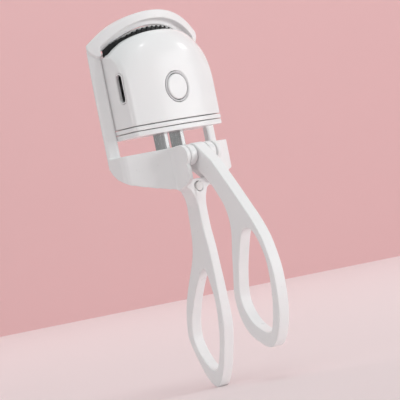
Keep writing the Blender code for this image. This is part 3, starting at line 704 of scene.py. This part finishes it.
def cheek(side):
    nose = arc(0.0, 0.0, NOSE_RADIUS, 90, 230, 36)
    lower = [(-2.5, -4.0), (-2.4, -7.2), (-0.8, -8.6), (3.3, -9.9), (6.0, -7.7), (6.0, 3.0), (3.0, 3.1)]
    low, high = sorted((side * CHEEK_INSIDE, side * CHEEK_OUTSIDE))
    return prism([nose + lower], "x", low, high)


def neck():
    """The taper from the fork down to the rear handle; each station is height, half width and back."""
    stations = [(-7.2, 6.0, 6.0), (-8.8, 5.9, 6.3), (-10.4, 3.4, 6.6), (-13.0, 2.2, 6.8), (-15.5, 1.7, 6.9)]
    front = NECK_FRONT_Y
    return loft([[(-w, front, z), (w, front, z), (w, y, z), (-w, y, z)] for z, w, y in stations])


REAR_OUTLINE = [
    (2.1, -9.5), (2.1, -15.0), (2.1, -21.5), (1.5, -28.0), (1.2, -35.0), (1.1, -41.0),
    (1.1, -47.0), (1.3, -51.5), (2.2, -55.5), (3.3, -59.2), (4.4, -62.6), (5.5, -65.2),
    (6.8, -67.6), (8.1, -69.3), (9.4, -69.8), (10.9, -68.8), (12.6, -66.6), (14.2, -63.4),
    (15.7, -59.6), (16.8, -56.4), (17.4, -53.4), (17.1, -50.2), (16.1, -45.2), (14.4, -40.7),
    (11.9, -35.6), (9.5, -30.8), (8.2, -26.5), (7.6, -22.0), (7.3, -17.5), (7.1, -14.5),
    (6.8, -9.5),
]
REAR_LOOP = [
    (5.3, -34.3), (7.8, -36.3), (10.6, -40.5), (12.7, -44.4), (14.3, -48.2), (15.2, -52.0),
    (15.1, -55.4), (13.8, -59.2), (11.6, -62.7), (9.7, -64.5), (8.3, -64.7), (6.9, -63.0),
    (5.2, -58.8), (4.0, -54.2), (3.3, -49.5), (3.1, -45.0), (3.5, -40.8), (4.3, -36.6),
]
FRONT_OUTLINE = [
    (-7.4, -3.1), (-9.8, -7.0), (-12.9, -12.0), (-16.0, -17.2), (-19.0, -22.3), (-21.4, -27.6),
    (-22.7, -32.5), (-23.5, -37.5), (-23.6, -42.0), (-23.3, -46.8), (-22.5, -51.4), (-21.2, -55.2),
    (-19.4, -58.4), (-17.4, -60.1), (-15.0, -59.9), (-12.6, -58.4), (-10.4, -56.8), (-8.6, -54.8),
    (-7.0, -51.9), (-6.1, -48.6), (-5.7, -45.0), (-5.9, -41.8), (-6.9, -37.4), (-7.9, -32.6),
    (-8.9, -28.4), (-9.7, -24.6), (-9.8, -21.0), (-9.0, -17.0), (-7.4, -13.6), (-5.3, -9.9),
    (-3.4, -7.5), (-1.6, -5.9),
]
FRONT_LOOP = [
    (-15.8, -24.6), (-14.1, -25.4), (-12.8, -27.8), (-11.3, -31.6), (-9.9, -35.6), (-8.8, -39.8),
    (-8.2, -43.6), (-8.5, -46.8), (-9.7, -49.9), (-11.7, -52.7), (-14.3, -54.8), (-16.6, -55.9),
    (-18.1, -55.3), (-19.3, -52.9), (-20.4, -49.0), (-21.2, -44.6), (-21.6, -39.6), (-21.5, -34.8),
    (-20.6, -30.8), (-19.3, -27.4), (-17.7, -25.2),
]


def rear_handle():
    """The rear handle's plate, a little thinner in its shank than round its finger loop."""
    loops = [smooth(REAR_OUTLINE, 7), smooth(REAR_LOOP, 8)]
    plate = prism(loops, "x", -REAR_HANDLE_HALF, REAR_HANDLE_HALF, 0.25)
    for level in spread(REAR_FULL_Z, REAR_SHANK_Z, 12):
        geometry = plate.verts[:] + plate.edges[:] + plate.faces[:]
        bmesh.ops.bisect_plane(plate, geom=geometry, dist=1e-5, plane_co=(0, 0, level), plane_no=(0, 0, 1))
    for vertex in plate.verts:
        share = min(max((vertex.co.z - REAR_FULL_Z) / (REAR_SHANK_Z - REAR_FULL_Z), 0.0), 1.0)
        vertex.co.x *= 1.0 + (REAR_SHANK_HALF / REAR_HANDLE_HALF - 1.0) * share
    bmesh.ops.recalc_face_normals(plate, faces=plate.faces)
    return plate


def build_frame():
    ends = [sorted((side * PAD_HALF_SPAN, side * WINDOW_HALF_WIDTH)) for side in (-1, 1)]
    clear = [box(end, (5.0, 17.5), (RAIL_TOP_Z - 6.0, JAW_END_CLEAR_Z)) for end in ends]
    recess = strip(recess_section, -RECESS_HALF_SPAN, RECESS_HALF_SPAN)
    jaw = cut(strip(jaw_section, -JAW_HALF_WIDTH, JAW_HALF_WIDTH, 150), recess, *clear)
    fork = box((-CHEEK_INSIDE, CHEEK_INSIDE), (-8.0, 13.6), (-7.2, 6.0))
    below = box((-CHEEK_INSIDE, CHEEK_INSIDE), (6.4, 13.6), (-14.0, -7.0))
    solids = [jaw, rail(-1), rail(1), cheek(-1), cheek(1)]
    for solid in (cut(keel(), fork, below), neck(), rear_handle()):
        solids.append(cut(solid, cylinder("y", BUMPER_SPOT, 1.6, 1.0, 3.2)))
    moulded("moulded_frame", solids, WHITE, "frame_body", ["frame"], 0.2)


def pad_section(x):
    low, front = clamp_line(x) - PAD_SINK, jaw_front(x) + PAD_FRONT
    back = jaw_front(x) + jaw_depth(x) - 0.2
    high = low + PAD_HEIGHT
    nose = arc(front + 0.18, low + 0.18, 0.18, 270, 180, 4)
    return [(back, high), (back, low), *nose, (front, high)]


def build_jaw_trim():
    pad = strip(pad_section, -PAD_HALF_SPAN, PAD_HALF_SPAN)
    machined("silicone_jaw_pad", pad, SILICONE, "frame_body", ["jaw_pad"])
    back = [(0.3, 3.0), (1.15, 2.98), (1.33, 2.85), (1.4, 2.6)]
    front = [(1.4, 1.9), (1.34, 1.72), (1.15, 1.62), (0.1, 1.6)]
    bumper = lathe(back + front, "y", BUMPER_SPOT)
    machined("handle_rest_bumper", bumper, SILICONE, "frame_body", ["handle_bumper"])


# ---------------------------------------------------------------- sliding head


def shoulder_columns(inset, bottom):
    """Vertical columns round the sides and front: straight up, then a quarter ellipse back to the rim."""
    outline = head_outline(inset, parting)
    columns = []
    for x, y in outline[: -(REAR_STEPS + 1)]:
        top = rim_height(x) - inset
        back = max(y, rim_line(x) + inset)
        start = top - SHOULDER_HEIGHT
        column = [(x, y, z) for z in spread(bottom, start, STRAIGHT_STEPS)]
        for step in range(1, SHOULDER_STEPS + 1):
            angle = math.pi / 2 * step / SHOULDER_STEPS
            lean = (back - y) * (1 - math.cos(angle))
            column.append((x, y + lean, start + SHOULDER_HEIGHT * math.sin(angle)))
        columns.append(column)
    return columns


def head_solid(inset, bottom, back_gap):
    """The head's front half as one solid, from its domed front to the parting with the rear cover."""
    columns = shoulder_columns(inset, bottom)
    bm = bmesh.new()
    grid = [[bm.verts.new(p) for p in column] for column in columns]
    behind = []
    for column in columns:
        x = column[0][0]
        y = parting(x) + back_gap
        behind.append((bm.verts.new((x, y, bottom)), bm.verts.new((x, y, column[-1][2]))))
    for one, two in zip(grid, grid[1:]):
        for i in range(len(one) - 1):
            bm.faces.new((one[i], two[i], two[i + 1], one[i + 1]))
    for i in range(len(grid) - 1):
        low_a, high_a = behind[i]
        low_b, high_b = behind[i + 1]
        bm.faces.new((grid[i][-1], grid[i + 1][-1], high_b, high_a))
        bm.faces.new((grid[i][0], low_a, low_b, grid[i + 1][0]))
        bm.faces.new((low_a, high_a, high_b, low_b))
    bm.faces.new((*grid[0], behind[0][1], behind[0][0]))
    bm.faces.new((*grid[-1], behind[-1][1], behind[-1][0]))
    bmesh.ops.remove_doubles(bm, verts=bm.verts, dist=1e-4)
    bmesh.ops.triangulate(bm, faces=[f for f in bm.faces if len(f.verts) > 4])
    bmesh.ops.recalc_face_normals(bm, faces=bm.faces)
    return bm


def holder_opening(x):
    """The room behind the head's rim for the comb and its holder."""
    low, front = rim_height(x) - 4.0, jaw_front(x) + 0.9
    return [(front, low), (front, low + 8.0), (20.0, low + 8.0), (20.0, low)]


def bosses():
    """The posts inside the front cover that take its screws."""
    made = []
    for (x, z), root in zip(SCREW_SPOTS, BOSS_FRONTS):
        post = cylinder("y", (x, z), 1.3, root, parting(x) - 0.05, 20)
        made.append(cut(post, cylinder("y", (x, z), 0.6, 8.6, 20.0, 16)))
    return made


def build_front_shell():
    shell = cut(head_solid(0.0, SHELL_BOTTOM_Z, 0.0), head_solid(WALL, SHELL_BOTTOM_Z - 1.0, 1.0))
    port = prism([slot_outline(PORT_Y, PORT_Z, *PORT_HOLE)], "x", -20.0, -15.0)
    button = cylinder("y", (0.0, BUTTON_Z), RING_RADIUS + 0.15, 0.0, 5.0, 96)
    shell = cut(shell, port, button, strip(holder_opening, -17.0, 17.0, 60))
    solids = [shell, *bosses()]
    moulded("front_cover", solids, WHITE_HEAD, "head_body", ["front_shell"], 0.21)


def lid_section(x):
    top = rim_height(x) - 0.1
    inner, outer = parting(x) + PARTING_GAP, head_back(x)
    edge = arc(outer - 0.7, top - 0.7, 0.7, 90, 0, 6)
    return [(inner, SHELL_BOTTOM_Z), (inner, top), *edge, (outer, SHELL_BOTTOM_Z)]


def build_rear_shell():
    body = strip(lid_section, -HEAD_HALF_WIDTH, HEAD_HALF_WIDTH, 90)
    holes = []
    for x, z in SCREW_SPOTS:
        holes.append(cylinder("y", (x, z), 0.7, 12.0, 18.0, 24))
        holes.append(cylinder("y", (x, z), 1.25, head_back(x) - 0.7, 18.0, 48))
    lid = cut(body, *holes)
    moulded("rear_cover", [lid], WHITE_HEAD, "head_body", ["rear_shell"], 0.2)


def cross_cut(screw, centre, face, axis):
    """Cuts a cross recess into a screw's head, from its face inwards."""
    ends = (face - CROSS_DEPTH, face + CROSS_DEPTH)
    for width, height in ((CROSS_LENGTH, CROSS_WIDTH), (CROSS_WIDTH, CROSS_LENGTH)):
        across, upward = ((c - s, c + s) for c, s in zip(centre, (width, height)))
        screw = cut(screw, box(*AXES[axis](across, upward, ends)))
    return screw


def build_screws():
    head = [(0.3, 0.0), (0.75, -0.02), (0.97, -0.09), (1.05, -0.2), (1.05, -0.5), (0.48, -0.55)]
    for index, (x, z) in enumerate(SCREW_SPOTS):
        back = head_back(x) - 0.1
        shank = [(0.48, back - 4.9), (0.2, back - 5.4)]
        profile = [(radius, back + along) for radius, along in head] + shank
        screw = cross_cut(lathe(profile, "y", (x, z), 36), (x, z), back, "y")
        name = f"shell_screw_{index + 1}"
        machined(f"cross_head_{name}", screw, STEEL, "head_body", [name])
    top = YOKE_SCREW_TOP_Z
    profile = [(0.45, 8.2), (0.55, 8.5), (0.55, 10.75), (1.2, 10.75), (1.2, 11.2), (1.1, 11.34), (0.9, top)]
    for side, label in SIDES:
        x, y = side * YOKE_SCREW_SPOT[0], YOKE_SCREW_SPOT[1]
        screw = cross_cut(lathe(profile, "z", (x, y), 36), (x, y), top, "z")
        name = f"yoke_screw_{label}"
        machined(f"cross_head_{name}", screw, STEEL, "head_body", [name])


def leg_box(side, z, gap=0.0):
    x = sorted((side * (LEG_INSIDE - gap), side * (LEG_OUTSIDE + gap)))
    return box(x, (LEG_FRONT_Y - gap, LEG_BACK_Y + gap), z)


def yoke_screw_holes():
    x, y = YOKE_SCREW_SPOT
    return [cylinder("z", (side * x, y), 0.8, 5.0, 12.0, 32) for side in (-1, 1)]


def build_bands():
    """The ring and the base plate under the head, with rounded edges either side of each groove."""
    outer, inner = offset(head_outline(), TRIM_OVERHANG), offset(head_outline(), -TRIM_WALL)
    ring = prism([outer, inner], "z", TRIM_BOTTOM_Z, TRIM_TOP_Z, 0.16)
    machined("trim_band", ring, WHITE_HEAD, "head_body", ["trim_ring"])
    base = prism([head_outline()], "z", HEAD_BOTTOM_Z, TRIM_BOTTOM_Z - TRIM_GROOVE, 0.25)
    slots = [leg_box(side, (5.0, 12.0), 0.2) for side in (-1, 1)]
    base = cut(base, *slots, *yoke_screw_holes())
    machined("base_plate", base, WHITE_HEAD, "head_body", ["base_cap"])


def build_yoke():
    """A flange under the head with two legs, each slotted for the drive pin."""
    solids = []
    for side in (-1, 1):
        groove = box((-9.0, 9.0), (LEVER_ARM - 2.05, LEVER_ARM + 1.4), (-YOKE_SLOT_HALF, YOKE_SLOT_HALF))
        solids.append(cut(leg_box(side, (LEG_BOTTOM_Z, 10.2)), groove))
    flange = box((-8.4, 8.4), (LEG_FRONT_Y, 11.4), (9.75, 10.6), 0.12)
    solids.append(cut(flange, *yoke_screw_holes()))
    moulded("steel_lift_yoke", solids, STEEL, "head_body", ["lift_yoke"], 0.14)


def holder_section(x):
    """The comb's seat in front, the curling plate's groove, and the slope back to the parting."""
    front, tips = jaw_front(x) + COMB_FRONT, clamp_line(x)
    seat_back = front + jaw_depth(x) - 1.35
    back = parting(x) - 0.05
    shelf = min(rim_height(x) - 0.2, tips - 2.1)
    far = max(seat_back + 0.4, back)
    return [
        (front, tips - 4.6),
        (front, tips - 1.6),
        (front + COMB_BACK, tips - 1.6),
        (front + COMB_BACK, tips - 2.9),
        (seat_back, tips - 2.9),
        (seat_back, tips - 2.1),
        (max(seat_back + 0.35, back - 0.3), shelf),
        (far, tips - 3.4),
        (far, tips - 4.6),
    ]


def comb_section(x):
    """The rail and the thin web behind the teeth; the web is lower in the middle, where notches show."""
    front, tips = jaw_front(x) + COMB_FRONT, clamp_line(x)
    low, rail_top = tips - 1.5, tips - 1.2
    rise = NOTCH_DEPTH * share_past(x, NOTCH_START, NOTCH_START + NOTCH_SPAN) + comb_rise(x)
    high = tips - 0.05 + rise
    web, back = front + COMB_WEB_SETBACK, front + COMB_BACK
    return [(front, low), (front, rail_top), (web, rail_top), (web, high), (back, high), (back, low)]


def tooth(x):
    """A tapered, round-tipped tooth that stands off the web behind it."""
    base, tip = TOOTH_BASE, TOOTH_TIP
    front, tips = jaw_front(x) + COMB_FRONT, clamp_line(x)
    low, bend, high = tips - 1.35, tips - 0.85, tips + 0.35 + comb_rise(x)
    fall = base * (clamp_line(x + 0.5) - clamp_line(x - 0.5))
    slope = jaw_front(x + 0.5) - jaw_front(x - 0.5)
    right = [(x + base, low + fall), (x + base, bend + fall)]
    crown = arc(x, high - tip, tip, 0, 180, 8)
    left = [(x - base, bend - fall), (x - base, low - fall)]
    outline = right + crown + left
    rings = []
    for depth, shrink in ((0.03, 0.82), (0.12, 1.0), (0.5, 1.0)):
        sink = (1 - shrink) * 0.3
        rings.append([(x + (a - x) * shrink, front + depth + slope * (a - x), b - sink) for a, b in outline])
    return loft(rings)


def build_comb():
    reach = (TOOTH_COUNT - 1) / 2
    teeth = [tooth((i - reach) * TOOTH_PITCH) for i in range(TOOTH_COUNT)]
    comb = joined([strip(comb_section, -COMB_HALF_SPAN, COMB_HALF_SPAN), *teeth])
    machined("fine_lash_comb", comb, NYLON, "head_body", ["lash_comb"])
    holder = strip(holder_section, -HOLDER_HALF_SPAN, HOLDER_HALF_SPAN)
    machined("heat_proof_holder", holder, NYLON, "head_body", ["heater_holder"])


def plate_section(x):
    front, back = jaw_front(x) + PLATE_FRONT, jaw_front(x) + jaw_depth(x) - 0.4
    top = clamp_line(x) - PLATE_BELOW_TIPS
    rounding = 0.25
    fore = arc(front + rounding, top - rounding, rounding, 180, 90, 4)
    aft = arc(back - rounding, top - rounding, rounding, 90, 0, 4)
    return [(front, top - 0.9), *fore, *aft, (back, top - 0.9)]


def build_plate():
    plate = strip(plate_section, -PLATE_HALF_SPAN, PLATE_HALF_SPAN)
    machined("curling_plate", plate, COATING, "head_body", ["heater_plate"])


def build_port():
    outer = slot_outline(PORT_Y, PORT_Z, *PORT_RIM_OUTSIDE)
    inner = slot_outline(PORT_Y, PORT_Z, *PORT_RIM_INSIDE)
    bezel = prism([outer, inner], "x", -18.25, -17.0, 0.14)
    machined("port_rim", bezel, WHITE_HEAD, "head_body", ["port_bezel"])


def build_button():
    """A dished cap, and the raised ring round it."""
    edge = BUTTON_RADIUS
    dish = [(0.35, 2.38), (1.5, 2.37), (2.7, 2.33), (3.35, 2.31), (3.62, 2.34), (3.78, 2.44), (edge, 2.62)]
    profile = dish + [(edge, 3.55), (3.78, 3.66), (3.6, 3.7), (0.3, 3.7)]
    cap = lathe(profile, "y", (0.0, BUTTON_Z), 96)
    machined("power_button_cap", cap, WHITE_HEAD, "button_body", ["power_button"])
    outside, bore = RING_RADIUS, RING_BORE
    rim = [(outside, 2.56), (4.52, 2.47), (4.3, 2.5), (4.12, 2.62), (bore, 2.85), (bore, 3.6), (outside, 3.6)]
    bm = bmesh.new()
    rings = []
    for radius, along in rim:
        rings.append([bm.verts.new((a, along, b)) for a, b in circle(0.0, BUTTON_Z, radius, 96)])
    for one, two in zip(rings, rings[1:] + rings[:1]):
        bridge(bm, one, two)
    bmesh.ops.recalc_face_normals(bm, faces=bm.faces)
    machined("button_bezel", bm, TRIM, "head_body", ["button_ring"], 60.0)


# ---------------------------------------------------------------- front handle


def build_front_handle():
    """Hub, lever arm and finger loop in one plate, with a barrel on each side of the hub."""
    hub = arc(0.0, 0.0, NOSE_RADIUS + 0.1, 90, 128, 12)
    lever_tip = arc(LEVER_ARM, 0.0, 2.2, -90, 90, 24)
    lower = smooth([(-1.6, -5.9), (1.4, -4.1), (4.0, -2.7), (6.8, -2.2), (9.0, -2.2)], 4, False)[1:]
    upper = [(5.4, 2.3), (2.4, 3.0)]
    outline = hub + smooth(FRONT_OUTLINE, 7, False) + lower + lever_tip + upper
    loops = [outline, smooth(FRONT_LOOP, 8)]
    plate = prism(loops, "x", -FRONT_HANDLE_HALF, FRONT_HANDLE_HALF, 0.25)
    ends = [(3.0, -5.2), (3.15, -5.05), (3.15, -2.75), (1.7, -2.75), (1.7, -2.0)]
    profile = ends + [(radius, -along) for radius, along in reversed(ends)]
    barrel = lathe(profile, "x", (0.0, 0.0), 96)
    solids = [cut(solid, cylinder("x", (0.0, 0.0), HINGE_BORE, -8.0, 8.0)) for solid in (plate, barrel)]
    moulded("moulded_front_handle", solids, WHITE, "front_handle_body", ["front_handle"], 0.16)


PINS = (
    ("pivot_pin", "hinge_pin", "frame_body", 0.0, 1.1, 6.6),
    ("lift_pin", "drive_pin", "front_handle_body", LEVER_ARM, 1.0, 4.9),
)


def build_pins():
    """Each pin has its name, node and body, its place in y, its radius and its half length."""
    for name, node, body, y, radius, reach in PINS:
        pin = cylinder("x", (y, 0.0), radius, -reach, reach, 48, 0.15)
        machined(name, pin, STEEL, body, [node])


# ---------------------------------------------------------------- CAD nodes that are shown as they are

CARRIED = {
    "usb_c_socket": DARK_STEEL,
    "usb_tongue": NYLON,
    "heating_element_left": CERAMIC,
    "heating_element_right": CERAMIC,
    "heat_shield": SILICONE,
    "thermistor": CERAMIC,
    "battery_cell": FOIL,
    "circuit_board": BOARD,
    "charger_chip": NYLON,
    "controller_chip": NYLON,
    "tact_switch": STEEL,
    "status_led_left": LENS,
    "status_led_right": LENS,
    "battery_lead_left": WIRE,
    "battery_lead_right": WIRE,
    "heater_lead_left": WIRE,
    "heater_lead_right": WIRE,
    "switch_plunger": NYLON,
}


def paint_carried():
    for node, material in CARRIED.items():
        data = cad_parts[node].data
        data.materials.clear()
        data.materials.append(material)


# ---------------------------------------------------------------- stage

WALL_DISTANCE = 0.93
WALL_HEIGHT = 2.4
STAGE_HALF_SIZE = 3.0
STAGE_DEPTHWISE = Vector((0.6917, 0.7221, 0.0))
FLOOR_COLOUR = (0.88, 0.78, 0.785)
WALL_COLOUR = (0.8, 0.5, 0.505)
COOL_WHITE = (0.97, 1.0, 1.0)
PURE_WHITE = (1.0, 1.0, 1.0)
LIGHT_TARGET = (0.0, 0.0, 0.07)
GLINT_SPOTS = (
    ((-0.009, 0.008, 0.105), (0.296, -0.742, 0.601)),
    ((0.006, 0.006, 0.103), (0.844, -0.446, 0.298)),
)
GLINT_DISTANCE = 0.8
SKY_COLOUR = (0.945, 1.0, 1.0)
SKY_STRENGTH = 0.46
CAMERA_RIGHT = Vector((0.70883, -0.67686, -0.19855))
CAMERA_UP = Vector((0.13815, -0.14282, 0.98006))
CAMERA_PLACE = Vector((-0.516367, -0.536311 + HINGE.y * MM, 0.050273))
CAMERA_LENS = 225.0
CAMERA_SENSOR = 36.0


def build_stage():
    """A pale floor that meets a pale wall well behind the object."""
    centre = (cad_box[0] + cad_box[1]) / 2
    along = STAGE_DEPTHWISE.normalized()
    across = Vector((along.y, -along.x, 0.0))
    profile = ((-STAGE_HALF_SIZE, 0.0), (WALL_DISTANCE, 0.0), (WALL_DISTANCE, WALL_HEIGHT))
    bm = bmesh.new()
    rows = []
    for distance, height in profile:
        middle = Vector((centre.x, centre.y, height)) + along * distance
        rows.append([bm.verts.new(middle + across * side) for side in (-STAGE_HALF_SIZE, STAGE_HALF_SIZE)])
    for index, (one, two) in enumerate(zip(rows, rows[1:])):
        bm.faces.new((one[0], one[1], two[1], two[0])).material_index = index
    mesh = bpy.data.meshes.new("studio_stage")
    bm.to_mesh(mesh)
    bm.free()
    for name, colour in (("floor_paper", FLOOR_COLOUR), ("wall_paper", WALL_COLOUR)):
        mesh.materials.append(new_material(name, colour, 0.85)[0])
    floor = bpy.data.objects.new("studio_stage", mesh)
    bpy.context.scene.collection.objects.link(floor)


def area_light(name, place, target, size, power, colour=PURE_WHITE):
    """A lamp of the given width and height that hangs at a place and faces a target."""
    data = bpy.data.lights.new(name, "AREA")
    data.shape = "RECTANGLE"
    data.size, data.size_y = size
    data.energy = power
    data.color = colour
    light = bpy.data.objects.new(name, data)
    light.location = place
    light.rotation_mode = "QUATERNION"
    light.rotation_quaternion = (Vector(target) - Vector(place)).to_track_quat("-Z", "Y")
    light.visible_camera = False
    bpy.context.scene.collection.objects.link(light)
    return light


def build_lights():
    """Soft light from the right, from above and on the wall; the card and the glints are only reflected."""
    target = LIGHT_TARGET
    key = area_light("key", (0.58, -0.52, 0.15), target, (0.36, 0.36), 3.1, COOL_WHITE)
    reflected = [area_light("card", (0.58, -0.56, 0.1), target, (0.4, 0.4), 0.6)]
    top = area_light("top", (-0.1, -0.2, 0.8), target, (0.5, 0.5), 1.7, COOL_WHITE)
    area_light("left_strip", (-0.7, -0.12, 0.18), target, (0.06, 0.5), 0.5)
    for number, (spot, direction) in enumerate(GLINT_SPOTS):
        place = Vector(spot) + Vector(direction) * GLINT_DISTANCE
        reflected.append(area_light(f"glint_{number + 1}", place, spot, (0.045, 0.045), 0.2))
    area_light("wall", (0.35, 0.4, 0.95), (0.72, 0.75, 0.45), (1.4, 0.6), 4.3)
    for light in (key, top):
        light.visible_glossy = False
    for light in reflected:
        light.visible_diffuse = False
    world = bpy.data.worlds.new("studio")
    world.use_nodes = True
    sky = world.node_tree.nodes["Background"]
    sky.inputs["Color"].default_value = (*SKY_COLOUR, 1.0)
    sky.inputs["Strength"].default_value = SKY_STRENGTH
    bpy.context.scene.world = world


def build_camera():
    """A long lens level with the object, 44 degrees to its left, and rolled so that it leans to the left."""
    data = bpy.data.cameras.new("camera")
    data.sensor_width = CAMERA_SENSOR
    data.lens = CAMERA_LENS
    data.clip_start, data.clip_end = 0.05, 20.0
    camera = bpy.data.objects.new("camera", data)
    back = CAMERA_RIGHT.cross(CAMERA_UP).normalized()
    up = back.cross(CAMERA_RIGHT).normalized()
    rows = [(CAMERA_RIGHT[i], up[i], back[i], CAMERA_PLACE[i]) for i in range(3)]
    camera.matrix_world = Matrix((*rows, (0.0, 0.0, 0.0, 1.0)))
    bpy.context.scene.collection.objects.link(camera)
    bpy.context.scene.camera = camera


build_camera()
build_stage()
build_lights()
build_frame()
build_jaw_trim()
build_front_shell()
build_rear_shell()
build_screws()
build_bands()
build_yoke()
build_comb()
build_plate()
build_port()
build_button()
build_front_handle()
build_pins()
paint_carried()

bpy.context.scene.view_settings.view_transform = "Standard"
